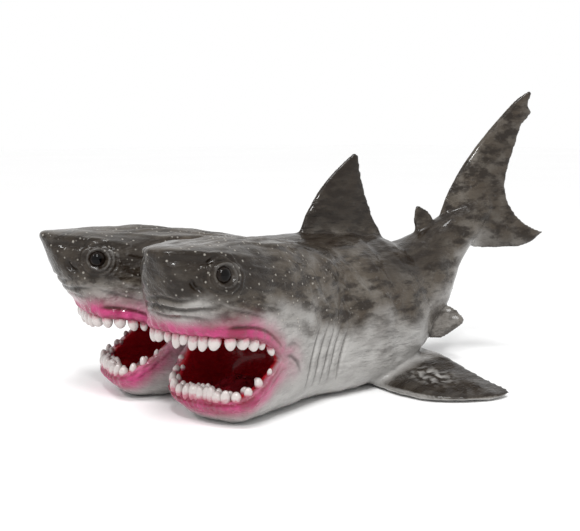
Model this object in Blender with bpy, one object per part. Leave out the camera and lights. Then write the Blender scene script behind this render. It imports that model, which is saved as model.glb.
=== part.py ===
"""A two-headed shark figurine, moulded in one piece of glossy soft vinyl.

The trunk, the two heads, the fins and the teeth are lofted one by one, joined into one closed
solid, hollowed at both open mouths and sliced level where the figurine rests. Places are given
as a distance back from the two snout tips, which lie side by side at the front, a distance to
the shark's left, and a height above the surface that it stands on.
Run it with: blender --background --python part.py
"""

import math

import bmesh
import bpy
import numpy as np
from mathutils import Matrix, Vector

MM = 0.001

# Trunk: the spine runs level, then climbs and swings to the shark's left towards the tail
TRUNK_START = 84.0 * MM
TRUNK_END = 278.0 * MM
TRUNK_HALF_WIDTH = 55.0 * MM
TRUNK_HALF_HEIGHT = 48.0 * MM
SPINE_HEIGHT = 45.0 * MM
TAIL_LIFT = 62.0 * MM
TAIL_SWING = 38.0 * MM

# Heads: two alike, spreading apart towards the snouts, with the left one a little further back
HEAD_LENGTH = 146.0 * MM
HEAD_HALF_WIDTH = 34.0 * MM
CROWN_HEIGHT = 99.0 * MM
SNOUT_SPREAD = 53.5 * MM
HEAD_TURN = math.radians(15)
LEFT_HEAD_SETBACK = 4.5 * MM

# Mouths
LIP_HEIGHT = 52.0 * MM
CHIN_HEIGHT = 13.0 * MM
CORNER_BACK = 64.0 * MM
CORNER_HEIGHT = 35.0 * MM
LIP_THICKNESS = 6.0 * MM
MOUTH_BACK = 100.0 * MM
PALATE_RISE = 9.0 * MM
JAW_FLOOR = 5.0 * MM
GAPE_MARGIN = 1.6 * MM

# Teeth: one row above, and an outer and an inner row below
UPPER_TEETH = 17
LOWER_TEETH = 17
INNER_TEETH = 12
UPPER_TOOTH_WIDTH = 6.4 * MM
UPPER_TOOTH_LENGTH = 7.4 * MM
LOWER_TOOTH_WIDTH = 5.6 * MM
LOWER_TOOTH_LENGTH = 6.2 * MM
INNER_TOOTH_WIDTH = 4.4 * MM
INNER_TOOTH_LENGTH = 4.6 * MM
TOOTH_ROOT = 2.4 * MM

# Eyes
EYE_BACK = 26.0 * MM
EYE_HEIGHT = 84.0 * MM
EYE_RADIUS = 5.0 * MM
EYE_STAND_OUT = 1.8 * MM

# Gill slits, on the outer sides of the necks
GILL_COUNT = 5
GILL_BACK = 104.0 * MM
GILL_SPACING = 7.5 * MM
GILL_WIDTH = 2.2 * MM
GILL_DEPTH = 1.6 * MM
GILL_LOW = 16.0 * MM
GILL_HIGH = 62.0 * MM
GILL_BOW = 5.0 * MM

# Dorsal fins, standing on the back
DORSAL_BACK = 145.0 * MM
DORSAL_BASE = 64.0 * MM
DORSAL_HEIGHT = 53.0 * MM
DORSAL_THICKNESS = 9.0 * MM
REAR_DORSAL_BACK = 225.0 * MM
REAR_DORSAL_BASE = 18.0 * MM
REAR_DORSAL_HEIGHT = 15.0 * MM

# Caudal fin: how far its two lobes reach behind the tail's root, and up and down from it
CAUDAL_BACK = 269.0 * MM
CAUDAL_STALK = 20.0 * MM
UPPER_LOBE_BACK = 38.0 * MM
UPPER_LOBE_RISE = 82.0 * MM
LOWER_LOBE_BACK = 48.0 * MM
LOWER_LOBE_DROP = 22.0 * MM
CAUDAL_THICKNESS = 8.0 * MM

# Paired fins and the anal fin
PECTORAL_BACK = 165.0 * MM
PECTORAL_CHORD = 43.0 * MM
PECTORAL_REACH = 113.0 * MM
PECTORAL_HEIGHT = 2.5 * MM
PECTORAL_LIFT = 12.0 * MM
PECTORAL_THICKNESS = 10.0 * MM
PELVIC_BACK = 219.0 * MM
PELVIC_CHORD = 17.0 * MM
PELVIC_REACH = 15.0 * MM
ANAL_BACK = 245.0 * MM
ANAL_CHORD = 9.0 * MM
ANAL_REACH = 7.0 * MM
SMALL_FIN_THICKNESS = 4.5 * MM
FIN_TIP_THICKNESS = 2.0 * MM

# Fineness of the mesh
HEAD_POINTS = 28
HEAD_RINGS = 22
TRUNK_POINTS = 28
TRUNK_RINGS = 22
MOUTH_LEVELS = 8
MOUTH_RINGS = 12
FIN_RINGS = 9
FIN_POINTS = 10
TOOTH_SIDES = 5
EYE_SEGMENTS = 12
WELD = 0.001 * MM
PINCH = 0.05 * MM
JOIN_TRIES = 6
VOLUME_SLACK = 1e-5
HAIR_BREADTH = Vector((0.011, 0.007, 0.013)) * MM

# Colours and gloss of the moulding and of its paint
FINISHES = {
    "grey_vinyl": ((0.105, 0.094, 0.082), 0.28),
    "mouth_paint": ((0.13, 0.004, 0.006), 0.30),
    "tooth_paint": ((0.62, 0.50, 0.50), 0.22),
    "eye_paint": ((0.006, 0.005, 0.004), 0.12),
}


class Profile:
    """A smooth curve through a few stations, which never overshoots them."""

    def __init__(self, *stations):
        self.at = np.array([row[0] for row in stations], float)
        self.value = np.array([row[1] for row in stations], float)
        rise = np.diff(self.value) / np.diff(self.at)
        self.slope = np.concatenate([rise[:1], np.zeros(len(rise) - 1), rise[-1:]])
        for i in range(1, len(rise)):
            if rise[i - 1] * rise[i] > 0:
                self.slope[i] = 2 * rise[i - 1] * rise[i] / (rise[i - 1] + rise[i])

    def __call__(self, place):
        place = min(max(place, self.at[0]), self.at[-1])
        i = min(int(np.searchsorted(self.at, place, side="right")) - 1, len(self.at) - 2)
        width = self.at[i + 1] - self.at[i]
        t = (place - self.at[i]) / width
        return float(
            self.value[i] * (1 + 2 * t) * (1 - t) ** 2
            + self.slope[i] * width * t * (1 - t) ** 2
            + self.value[i + 1] * t * t * (3 - 2 * t)
            + self.slope[i + 1] * width * t * t * (t - 1)
        )


def signed_power(value, power):
    """The value raised to a power, keeping its sign."""
    return math.copysign(abs(value) ** power, value)


def shares(count, crowding=1.0):
    """Numbers from 0 to 1; a crowding above 1 packs them towards 0."""
    return [(i / (count - 1)) ** crowding for i in range(count)]


# Trunk: each profile runs over shares of its length, and gives shares of the size it is named after

LIFT = Profile((0, 0), (0.34, 0), (0.52, 0.016), (0.60, 0.05), (0.65, 0.095), (0.69, 0.145),
               (0.73, 0.21), (0.765, 0.30), (0.805, 0.42), (0.835, 0.52), (0.91, 0.75), (1, 1))
SWING = Profile((0, 0), (0.34, 0), (0.5, 0.10), (0.62, 0.26), (0.69, 0.37), (0.765, 0.53),
                (0.86, 0.68), (0.91, 0.80), (1, 1))
WIDTH = Profile((0, 0.78), (0.08, 0.92), (0.18, 1), (0.34, 1.01), (0.44, 0.99), (0.52, 0.93),
                (0.60, 0.83), (0.69, 0.65), (0.765, 0.46), (0.82, 0.32), (0.89, 0.22), (1, 0.09))
HEIGHT = Profile((0, 0.94), (0.34, 0.97), (0.52, 0.92), (0.60, 0.845), (0.65, 0.81), (0.69, 0.73),
                 (0.73, 0.63), (0.765, 0.53), (0.805, 0.45), (0.835, 0.375), (0.91, 0.28), (1, 0.13))
FLANK_DROP = Profile((0, 0.28), (0.5, 0.28), (0.75, 0.06), (1, 0))
BELLY_SQUARENESS = Profile((0, 4.0), (0.5, 4.2), (0.66, 2.9), (0.8, 2.1), (1, 2.0))
BACK_SQUARENESS = 2.15


def trunk_share(station):
    """How far along the trunk a distance back from the snouts is, from 0 to 1."""
    return (station - TRUNK_START) / (TRUNK_END - TRUNK_START)


def spine_point(station):
    """The spine's centre at a distance back from the snouts."""
    share = trunk_share(station)
    return Vector((TAIL_SWING * SWING(share), station, SPINE_HEIGHT + TAIL_LIFT * LIFT(share)))


def spine_frame(station):
    """The spine's centre there, and the directions to the trunk's left and up from it."""
    step = 1.0 * MM
    along = (spine_point(station + step) - spine_point(station - step)).normalized()
    left = along.cross(Vector((0, 0, 1))).normalized()
    return spine_point(station), left, left.cross(along)


def trunk_sizes(station):
    """The trunk's half width, the drop of its widest level, and its reach above and below that."""
    share = trunk_share(station)
    half_height = TRUNK_HALF_HEIGHT * HEIGHT(share)
    drop = half_height * FLANK_DROP(share)
    return TRUNK_HALF_WIDTH * WIDTH(share), drop, half_height + drop, half_height - drop


def trunk_surface(station, angle):
    """The trunk's surface round one station of the spine, at an angle from the left upwards."""
    centre, left, up = spine_frame(station)
    half_width, drop, above, below = trunk_sizes(station)
    upward = math.sin(angle) > 0
    squareness = BACK_SQUARENESS if upward else BELLY_SQUARENESS(trunk_share(station))
    aside = half_width * signed_power(math.cos(angle), 2 / squareness)
    rise = (above if upward else below) * signed_power(math.sin(angle), 2 / squareness)
    return centre + left * aside + up * (rise - drop)


def trunk_point(back, angle):
    """The trunk's surface at a true distance back from the snouts, where it climbs too."""
    station = back
    for _ in range(40):
        station += 0.5 * (back - trunk_surface(station, angle).y)
    return trunk_surface(station, angle)


# Head: each profile runs over shares of its length, and gives shares of the crown or the width

HEAD_TOP = Profile((0, 0.985), (0.02, 0.995), (0.10, 1.0), (0.35, 0.995), (0.55, 0.975),
                   (0.75, 0.93), (1, 0.86))
HEAD_BOTTOM = Profile((0, 0.965), (0.018, 0.89), (0.04, 0.79), (0.07, 0.70), (0.10, 0.63),
                      (0.135, 0.57), (0.165, 0.50), (0.20, 0.33), (0.23, 0.17), (0.26, 0.085),
                      (0.30, 0.03), (0.35, -0.005), (0.42, -0.012), (0.85, -0.012), (1, 0.04))
HEAD_WIDTH = Profile((0, 0.06), (0.018, 0.20), (0.05, 0.38), (0.10, 0.57), (0.14, 0.71),
                     (0.19, 0.84), (0.28, 0.95), (0.40, 0.99), (0.55, 1.0), (0.75, 1.0),
                     (0.88, 0.94), (1, 0.82))
CHEEK_SHARE = 0.42
CROWN_SQUARENESS = 3.2
JAW_SQUARENESS = 2.6


def head_section(back):
    """The head's half width, cheek level, and reach above and below that, at a distance back."""
    share = back / HEAD_LENGTH
    top = CROWN_HEIGHT * HEAD_TOP(share)
    bottom = CROWN_HEIGHT * HEAD_BOTTOM(share)
    cheek = bottom + CHEEK_SHARE * (top - bottom)
    return HEAD_HALF_WIDTH * HEAD_WIDTH(share), cheek, top - cheek, cheek - bottom


def half_width_at(back, height):
    """How far the closed head reaches sideways at a distance back and a height."""
    if not 0 <= back <= HEAD_LENGTH:
        return 0.0
    half_width, cheek, above, below = head_section(back)
    rise = height - cheek
    reach, squareness = (above, CROWN_SQUARENESS) if rise > 0 else (below, JAW_SQUARENESS)
    inside = 1 - abs(rise / reach) ** squareness
    return half_width * inside ** (1 / squareness) if inside > 0 else 0.0


def head_to_body(side, back, aside, height):
    """A point in a head's own frame, given to its own left, placed in the body's frame."""
    along = Vector((-math.sin(HEAD_TURN) * side, math.cos(HEAD_TURN), 0))
    across = Vector((along.y, -along.x, 0))
    snout = Vector((SNOUT_SPREAD * side, LEFT_HEAD_SETBACK if side > 0 else 0, height))
    return snout + along * back + across * aside


def upper_lip(back):
    """The height of the upper lip's edge at a distance back from the snout."""
    share = min(max(back / CORNER_BACK, 0), 1)
    return LIP_HEIGHT + (CORNER_HEIGHT - LIP_HEIGHT) * share**5


def lower_lip(back):
    """The height of the lower lip's edge at a distance back from the snout."""
    front = 0.5 * CORNER_BACK
    share = min(max((back - front) / (CORNER_BACK - front), 0), 1)
    return CHIN_HEIGHT + (CORNER_HEIGHT - CHIN_HEIGHT) * share**1.4


def jaw_point(angle, lip, inset):
    """Where a jaw's arch runs, at an angle from straight ahead, set in from the head's skin.

    The arch is followed outwards from a centre in the mouth until it meets the skin.
    """
    centre = 0.8 * CORNER_BACK
    near, far = 0.0, HEAD_LENGTH
    for _ in range(40):
        reach = (near + far) / 2
        back = centre - reach * math.cos(angle)
        if reach * abs(math.sin(angle)) < half_width_at(back, lip(back)):
            near = reach
        else:
            far = reach
    reach = near - inset
    back = centre - reach * math.cos(angle)
    return Vector((back, reach * math.sin(angle), lip(back)))


def arch_angles(count, lip, inset, widest):
    """Angles that space a row of teeth evenly along a jaw's arch."""
    fine = [widest * (2 * share - 1) for share in shares(201)]
    points = [jaw_point(angle, lip, inset) for angle in fine]
    steps = [(q - p).length for p, q in zip(points, points[1:])]
    run = np.concatenate([[0], np.cumsum(steps)])
    return [float(np.interp((i + 0.5) / count * run[-1], run, fine)) for i in range(count)]


# Meshes

def finish(name):
    """The material of one part of the moulding, made once."""
    material = bpy.data.materials.get(name) or bpy.data.materials.new(name)
    colour, roughness = FINISHES[name]
    material.use_nodes = True
    shader = material.node_tree.nodes["Principled BSDF"]
    shader.inputs["Base Color"].default_value = (*colour, 1)
    shader.inputs["Roughness"].default_value = roughness
    shader.inputs["Metallic"].default_value = 0.0
    material.diffuse_color = (*colour, 1)
    return material


def new_object(name, shape, material="grey_vinyl"):
    """Turns a bmesh into an object in the scene, with its faces pointing out."""
    bmesh.ops.recalc_face_normals(shape, faces=shape.faces)
    mesh = bpy.data.meshes.new(name)
    shape.to_mesh(mesh)
    shape.free()
    mesh.materials.append(finish(material))
    obj = bpy.data.objects.new(name, mesh)
    bpy.context.scene.collection.objects.link(obj)
    return obj


def bridge(shape, row, following):
    """Joins two rings of as many corners with a band of faces."""
    for i, corner in enumerate(row):
        j = (i + 1) % len(row)
        shape.faces.new((corner, row[j], following[j], following[i]))


def close(shape, row, point):
    """Closes a ring with a fan of faces that meet in a point."""
    pole = shape.verts.new(point)
    for i, corner in enumerate(row):
        shape.faces.new((corner, row[(i + 1) % len(row)], pole))


def loft(name, rings, material="grey_vinyl"):
    """An object skinned over a row of flat rings that have as many points each."""
    shape = bmesh.new()
    rows = [[shape.verts.new(point) for point in ring] for ring in rings]
    for row, following in zip(rows, rows[1:]):
        bridge(shape, row, following)
    shape.faces.new(rows[0])
    shape.faces.new(rows[-1])
    return new_object(name, shape, material)


def weld(mesh):
    """Merges corners that a cut leaves in one place, and hair-fine edges where a skin meets itself."""
    shape = bmesh.new()
    shape.from_mesh(mesh)
    bmesh.ops.remove_doubles(shape, verts=shape.verts, dist=WELD)
    bmesh.ops.dissolve_degenerate(shape, edges=shape.edges, dist=WELD)
    pinched = [edge for edge in shape.edges if not edge.is_manifold and edge.calc_length() < PINCH]
    bmesh.ops.collapse(shape, edges=pinched)
    shape.to_mesh(mesh)
    shape.free()


def measure(mesh):
    """A mesh's volume, and whether each of its edges joins two faces."""
    shape = bmesh.new()
    shape.from_mesh(mesh)
    closed = all(edge.is_manifold for edge in shape.edges)
    volume = shape.calc_volume(signed=True)
    shape.free()
    return volume, closed


def combine(target, tool, operation):
    """Joins a tool to the target, or cuts it away, and removes the tool.

    Where corners of the two lie in one place, the join can go wrong. That shows in an open edge
    or in an impossible volume, and the join is made again with the tool a hair's breadth aside.
    """
    modifier = target.modifiers.new(operation, "BOOLEAN")
    modifier.operation = operation
    modifier.solver = "EXACT"
    modifier.material_mode = "TRANSFER"
    modifier.object = tool
    before, added = measure(target.data)[0], measure(tool.data)[0]
    least = (before if operation == "UNION" else before - added) - VOLUME_SLACK * before
    most = (before + added if operation == "UNION" else before) + VOLUME_SLACK * before
    for i in range(JOIN_TRIES):
        graph = bpy.context.evaluated_depsgraph_get()
        result = bpy.data.meshes.new_from_object(target.evaluated_get(graph))
        weld(result)
        volume, closed = measure(result)
        if closed and least < volume < most:
            break
        tool.data.transform(Matrix.Translation(HAIR_BREADTH * 2**i))
    target.modifiers.clear()
    target.data = result
    bpy.data.objects.remove(tool)


# Trunk and heads

def build_trunk():
    """The trunk, from inside the two necks to the root of the tail fin."""
    rings = []
    for share in shares(TRUNK_RINGS):
        station = TRUNK_START + (TRUNK_END - TRUNK_START) * share
        turns = [2 * math.pi * (i + 0.5) / TRUNK_POINTS for i in range(TRUNK_POINTS)]
        rings.append([trunk_surface(station, angle) for angle in turns])
    return loft("trunk", rings)


def build_head(side):
    """A closed head, before its mouth is cut."""
    rings = []
    for share in shares(HEAD_RINGS, 1.6):
        back = HEAD_LENGTH * share
        half_width, cheek, above, below = head_section(back)
        ring = []
        for i in range(HEAD_POINTS):
            angle = 2 * math.pi * (i + 0.5) / HEAD_POINTS
            upward = math.sin(angle) > 0
            power = 2 / (CROWN_SQUARENESS if upward else JAW_SQUARENESS)
            aside = half_width * signed_power(math.cos(angle), power)
            rise = (above if upward else below) * signed_power(math.sin(angle), power)
            ring.append(head_to_body(side, back, aside, cheek + rise))
        rings.append(ring)
    return loft("head", rings)


# Mouth

GAPE_STATIONS = (-0.12, 0.12, 0.25, 0.33, 0.40, 0.47, 0.55, 0.65, 0.75, 0.84, 0.91, 0.96, 1.0)


def build_gape(side):
    """The wedge between the lips, which opens the mouth to the front and to both sides."""
    rings = []
    for share in GAPE_STATIONS:
        back = share * CORNER_BACK
        high, low = upper_lip(back), lower_lip(back)
        middle, half_gap = (high + low) / 2, max((high - low) / 2, 0.4 * MM)
        high, low = middle + half_gap, middle - half_gap
        reach = max(half_width_at(back, level) for level in (high, middle, low)) + GAPE_MARGIN
        corners = ((-reach, low), (reach, low), (reach, high), (-reach, high))
        rings.append([head_to_body(side, back, aside, height) for aside, height in corners])
    return loft("gape", rings, "mouth_paint")


def mouth_wall(back, height):
    """How far the mouth's hollow reaches sideways: the head's own form, a lip's thickness smaller."""
    return half_width_at(back - LIP_THICKNESS, height) - LIP_THICKNESS


def build_cavity(side):
    """The hollow of the mouth behind the lips and the teeth."""
    roof = LIP_HEIGHT + PALATE_RISE
    starts = [back for back in np.arange(0, MOUTH_BACK, 0.5 * MM) if mouth_wall(back, LIP_HEIGHT) > 2 * MM]
    front = float(starts[0])
    rings = []
    for share in shares(MOUTH_RINGS, 1.3):
        back = front + (MOUTH_BACK - front) * share
        _, cheek, _, below = head_section(back - LIP_THICKNESS)
        floor = min(max(cheek - below + LIP_THICKNESS, JAW_FLOOR), LIP_HEIGHT)
        throat = max(share - 0.55, 0) / 0.45
        floor += 0.35 * throat**2 * (roof - floor)
        roof_here = roof - PALATE_RISE * max(1 - share / 0.25, 0) - 0.2 * throat**2 * (roof - floor)
        narrowing = math.sqrt(max(1 - throat**3, 0.03))
        left, right = [], []
        for level in shares(MOUTH_LEVELS):
            swing = (1 - math.cos(math.pi * level)) / 2
            height = floor + (roof_here - floor) * swing
            vault = (1 - max(2 * swing - 1, 0) ** 3) ** 0.5 if level < 1 else 0.0
            wall = max(mouth_wall(back, height) * narrowing * max(vault, 0.15), 0.4 * MM)
            left.append(head_to_body(side, back, wall, height))
            right.append(head_to_body(side, back, -wall, height))
        rings.append(left + right[::-1])
    return loft("cavity", rings, "mouth_paint")


def add_tooth(shape, root, out, point, width, length):
    """One blunt peg tooth, from its root in the gum to its rounded tip."""
    across = out.cross(point)
    rows = []
    for level, swell in ((-TOOTH_ROOT, 0.85), (0.35 * length, 1.0), (0.8 * length, 0.62)):
        row = []
        for i in range(TOOTH_SIDES):
            angle = 2 * math.pi * i / TOOTH_SIDES
            offset = across * math.cos(angle) * 0.5 + out * math.sin(angle) * 0.4
            row.append(shape.verts.new(root + point * level + offset * width * swell))
        rows.append(row)
    for row, following in zip(rows, rows[1:]):
        bridge(shape, row, following)
    shape.faces.new(rows[0])
    close(shape, rows[-1], root + point * length)


# Rows of teeth: how many, on which lip, set in by how many lip thicknesses, how far round in
# degrees, pointing up or down, how wide and how long
TOOTH_ROWS = (
    (UPPER_TEETH, upper_lip, 0.5, 100, -1, UPPER_TOOTH_WIDTH, UPPER_TOOTH_LENGTH),
    (LOWER_TEETH, lower_lip, 0.5, 100, 1, LOWER_TOOTH_WIDTH, LOWER_TOOTH_LENGTH),
    (INNER_TEETH, lower_lip, 1.1, 92, 1, INNER_TOOTH_WIDTH, INNER_TOOTH_LENGTH),
)


def build_teeth(side):
    """Every tooth of one mouth, each an object of its own."""
    for count, lip, share, round_to, upwards, width, length in TOOTH_ROWS:
        inset, widest = share * LIP_THICKNESS, math.radians(round_to)
        for angle in arch_angles(count, lip, inset, widest):
            size = 1 - 0.45 * abs(angle / widest) ** 3
            back, aside, height = jaw_point(angle, lip, inset)
            root = head_to_body(side, back, aside, height)
            out = head_to_body(side, back - math.cos(angle), aside + math.sin(angle), height) - root
            point = (Vector((0, 0, upwards)) + out * 0.15).normalized()
            out = (out - point * out.dot(point)).normalized()
            shape = bmesh.new()
            add_tooth(shape, root, out, point, width * size, length * size)
            yield new_object("tooth", shape, "tooth_paint")


def build_eye(side, face):
    """An eyeball, sunk in the side of a head."""
    aside = half_width_at(EYE_BACK, EYE_HEIGHT) + EYE_STAND_OUT - EYE_RADIUS
    shape = bmesh.new()
    levels = EYE_SEGMENTS // 2 + 1
    bmesh.ops.create_uvsphere(shape, u_segments=EYE_SEGMENTS, v_segments=levels, radius=EYE_RADIUS)
    centre = head_to_body(side, EYE_BACK, face * aside, EYE_HEIGHT)
    bmesh.ops.translate(shape, verts=shape.verts, vec=centre)
    return new_object("eye", shape, "eye_paint")


# Gills

def skin_reach(side, back, height):
    """How far the outer skin of head or trunk is from the middle, at a true distance back."""
    along, aside = back, 0.0
    for _ in range(12):
        along += back - head_to_body(side, along, side * aside, height).y
        aside = half_width_at(along, height)
    head = abs(head_to_body(side, along, side * aside, height).x)
    half_width, drop, above, below = trunk_sizes(back)
    rise = height - (SPINE_HEIGHT - drop)
    squareness = BACK_SQUARENESS if rise > 0 else BELLY_SQUARENESS(trunk_share(back))
    inside = 1 - abs(rise / (above if rise > 0 else below)) ** squareness
    trunk = half_width * max(inside, 0.0) ** (1 / squareness)
    return max(head, trunk)


def build_gill(side, back):
    """A curved, tapering cutter for one gill slit."""
    stand_off = 1.0 * MM
    rings = []
    for share in shares(6):
        height = GILL_LOW + (GILL_HIGH - GILL_LOW) * share
        belly = math.sin(math.pi * (0.08 + 0.84 * share))
        middle = back - GILL_BOW * belly
        skin = skin_reach(side, middle, height)
        half_width = GILL_WIDTH * belly / 2
        section = ((stand_off, -half_width), (stand_off, half_width), (-GILL_DEPTH * belly, 0.0))
        rings.append([Vector((side * (skin + out), middle + shift, height)) for out, shift in section])
    return loft("gill", rings)


# Fins

def fin_rings(stations, thick, thin, normal):
    """Rings of a fin from root to tip, through pairs of points on its front and rear edges."""
    last = len(stations) - 1
    edges = []
    for edge in (0, 1):
        axes = []
        for axis in range(3):
            axes.append(Profile(*[(k, pair[edge][axis]) for k, pair in enumerate(stations)]))
        edges.append(axes)
    rings = []
    for share in shares(FIN_RINGS):
        front, rear = (Vector([axis(share * last) for axis in axes]) for axes in edges)
        middle, half_chord = (front + rear) / 2, (front - rear) / 2
        half_thick = min((thick + (thin - thick) * share) / 2, half_chord.length)
        ring = []
        for i in range(FIN_POINTS):
            angle = 2 * math.pi * i / FIN_POINTS
            bulge = half_thick * math.sin(angle) * (1 + 0.3 * math.cos(angle))
            ring.append(middle + half_chord * math.cos(angle) + normal * bulge)
        rings.append(ring)
    return rings


def on_plane(origin, along, up, base, height, outline):
    """Places an outline, given in shares of a base and a height, on a plane."""
    return [[origin + along * (u * base) + up * (v * height) for u, v in pair] for pair in outline]


# Outlines: pairs of points on the front and the rear edge, in shares of the base and the height
DORSAL_OUTLINE = (
    ((0.02, -0.22), (0.96, -0.22)),
    ((0.0, 0.0), (1.0, -0.02)),
    ((0.13, 0.38), (0.85, 0.24)),
    ((0.30, 0.69), (0.74, 0.50)),
    ((0.45, 0.88), (0.65, 0.76)),
    ((0.55, 0.985), (0.61, 0.96)),
)
REAR_DORSAL_OUTLINE = (
    ((0.1, -0.5), (1.0, -0.5)),
    ((0.16, -0.1), (1.0, 0.0)),
    ((0.34, 0.50), (0.98, 0.38)),
    ((0.52, 0.92), (0.88, 0.72)),
    ((0.64, 1.0), (0.76, 0.92)),
)
UPPER_LOBE_OUTLINE = (
    ((-0.66, -0.12), (0.20, -0.05)),
    ((-0.50, 0.13), (0.54, 0.24)),
    ((-0.06, 0.50), (0.58, 0.36)),
    ((0.28, 0.70), (0.71, 0.57)),
    ((0.52, 0.83), (0.80, 0.71)),
    ((0.70, 0.92), (0.97, 0.815)),
    ((0.80, 0.955), (0.91, 0.865)),
    ((0.93, 0.995), (0.97, 0.97)),
)
LOWER_LOBE_OUTLINE = (
    ((-0.35, -0.30), (-0.10, 0.55)),
    ((0.0, -0.98), (0.40, 0.90)),
    ((0.30, -1.05), (0.47, 0.40)),
    ((0.57, -1.05), (0.64, -0.16)),
    ((0.80, -0.90), (0.85, -0.48)),
    ((0.98, -0.64), (1.0, -0.57)),
)
PELVIC_OUTLINE = (
    ((0.0, -0.5), (1.0, -0.5)),
    ((0.0, 0.0), (1.0, 0.0)),
    ((0.12, 0.45), (1.02, 0.40)),
    ((0.38, 0.82), (0.98, 0.75)),
    ((0.66, 1.0), (0.86, 0.96)),
)
ANAL_OUTLINE = (
    ((0.0, -0.7), (1.0, -0.7)),
    ((0.0, 0.0), (1.0, 0.0)),
    ((0.2, 0.55), (1.0, 0.45)),
    ((0.5, 1.0), (0.9, 0.92)),
)
# Shares of the pectoral's span and chord: how far out, the front edge, the rear edge, the rear's lift
PECTORAL_OUTLINE = (
    (0.20, 0.05, 1.35, 1.0),
    (0.42, 0.0, 1.28, 1.0),
    (0.60, -0.04, 1.14, 0.85),
    (0.76, 0.02, 1.06, 0.60),
    (0.88, 0.22, 1.08, 0.36),
    (0.96, 0.52, 1.12, 0.16),
    (1.0, 0.86, 1.08, 0.03),
)

BACK_ANGLE = math.pi / 2
BELLY_ANGLE = -math.pi / 2
PELVIC_ANGLE = math.radians(-55)


def build_back_fin(name, back, base, height, thick, outline):
    """A fin standing on the back."""
    front, rear = trunk_point(back, BACK_ANGLE), trunk_point(back + base, BACK_ANGLE)
    along = (rear - front).normalized()
    normal = along.cross(Vector((0, 0, 1))).normalized()
    stations = on_plane(front, along, normal.cross(along), (rear - front).length, height, outline)
    return loft(name, fin_rings(stations, thick, FIN_TIP_THICKNESS, normal))


def build_lobe(name, back, rise, outline):
    """One lobe of the tail fin, in the upright plane that the spine ends in."""
    root = spine_point(CAUDAL_BACK)
    before = spine_point(CAUDAL_BACK - CAUDAL_STALK)
    slope = (root.x - before.x) / (root.y - before.y)
    along, up = Vector((slope, 1, 0)), Vector((0, 0, 1))
    stations = on_plane(root, along, up, back, rise, outline)
    normal = along.cross(up).normalized()
    return loft(name, fin_rings(stations, CAUDAL_THICKNESS, FIN_TIP_THICKNESS, normal))


def build_pectoral(side):
    """A pectoral fin, lying out to one side with its tip near the ground."""
    middle = spine_point(PECTORAL_BACK).x * 0.5
    stations = []
    for out, front, rear, lift in PECTORAL_OUTLINE:
        x = middle + side * (PECTORAL_REACH - side * middle) * out
        stations.append((
            Vector((x, PECTORAL_BACK + front * PECTORAL_CHORD, PECTORAL_HEIGHT)),
            Vector((x, PECTORAL_BACK + rear * PECTORAL_CHORD, PECTORAL_HEIGHT + lift * PECTORAL_LIFT)),
        ))
    normal = Vector((0, -PECTORAL_LIFT, PECTORAL_CHORD)).normalized()
    return loft("pectoral", fin_rings(stations, PECTORAL_THICKNESS, FIN_TIP_THICKNESS, normal))


def build_belly_fin(name, back, chord, reach, angle, outline):
    """A small fin on the underside, pointing away from the spine."""
    front, rear = trunk_point(back, angle), trunk_point(back + chord, angle)
    along = (rear - front).normalized()
    out = front - spine_point(back)
    out = (out - along * out.dot(along)).normalized()
    stations = on_plane(front, along, out, (rear - front).length, reach, outline)
    return loft(name, fin_rings(stations, SMALL_FIN_THICKNESS, FIN_TIP_THICKNESS, along.cross(out)))


# The whole

def build_ground():
    """A block under the surface that the figurine stands on, which slices the underside level."""
    size = 2 * (TRUNK_END + PECTORAL_REACH)
    shape = bmesh.new()
    bmesh.ops.create_cube(shape, size=size)
    bmesh.ops.translate(shape, verts=shape.verts, vec=Vector((0, 0, -size / 2)))
    return new_object("ground", shape)


def seat(obj):
    """Moves the mesh so that the middle of its underside is at the origin."""
    corners = np.array([vertex.co for vertex in obj.data.vertices])
    low, high = corners.min(0), corners.max(0)
    obj.data.transform(Matrix.Translation((-(low[0] + high[0]) / 2, -(low[1] + high[1]) / 2, -low[2])))


def build_fins():
    """Every fin, as a closed object of its own."""
    yield build_back_fin("dorsal", DORSAL_BACK, DORSAL_BASE, DORSAL_HEIGHT, DORSAL_THICKNESS,
                         DORSAL_OUTLINE)
    yield build_back_fin("rear_dorsal", REAR_DORSAL_BACK, REAR_DORSAL_BASE, REAR_DORSAL_HEIGHT,
                         SMALL_FIN_THICKNESS, REAR_DORSAL_OUTLINE)
    yield build_lobe("upper_lobe", UPPER_LOBE_BACK, UPPER_LOBE_RISE, UPPER_LOBE_OUTLINE)
    yield build_lobe("lower_lobe", LOWER_LOBE_BACK, LOWER_LOBE_DROP, LOWER_LOBE_OUTLINE)
    yield build_belly_fin("anal", ANAL_BACK, ANAL_CHORD, ANAL_REACH, BELLY_ANGLE, ANAL_OUTLINE)
    for side, angle in ((1, PELVIC_ANGLE), (-1, math.pi - PELVIC_ANGLE)):
        yield build_pectoral(side)
        yield build_belly_fin("pelvic", PELVIC_BACK, PELVIC_CHORD, PELVIC_REACH, angle, PELVIC_OUTLINE)


def main():
    """Builds the figurine."""
    for old in list(bpy.data.objects):
        bpy.data.objects.remove(old)
    figurine = build_trunk()
    figurine.name = "shark_figurine"
    for side in (1, -1):
        combine(figurine, build_head(side), "UNION")
    for fin in build_fins():
        combine(figurine, fin, "UNION")
    for side in (1, -1):
        combine(figurine, build_gape(side), "DIFFERENCE")
        combine(figurine, build_cavity(side), "DIFFERENCE")
        for tooth in build_teeth(side):
            combine(figurine, tooth, "UNION")
        for face in (1, -1):
            combine(figurine, build_eye(side, face), "UNION")
        for i in range(GILL_COUNT):
            combine(figurine, build_gill(side, GILL_BACK + i * GILL_SPACING), "DIFFERENCE")
    combine(figurine, build_ground(), "DIFFERENCE")
    seat(figurine)
    figurine.data.shade_smooth()
    figurine.data.set_sharp_from_angle(angle=math.radians(50))


main()
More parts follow.
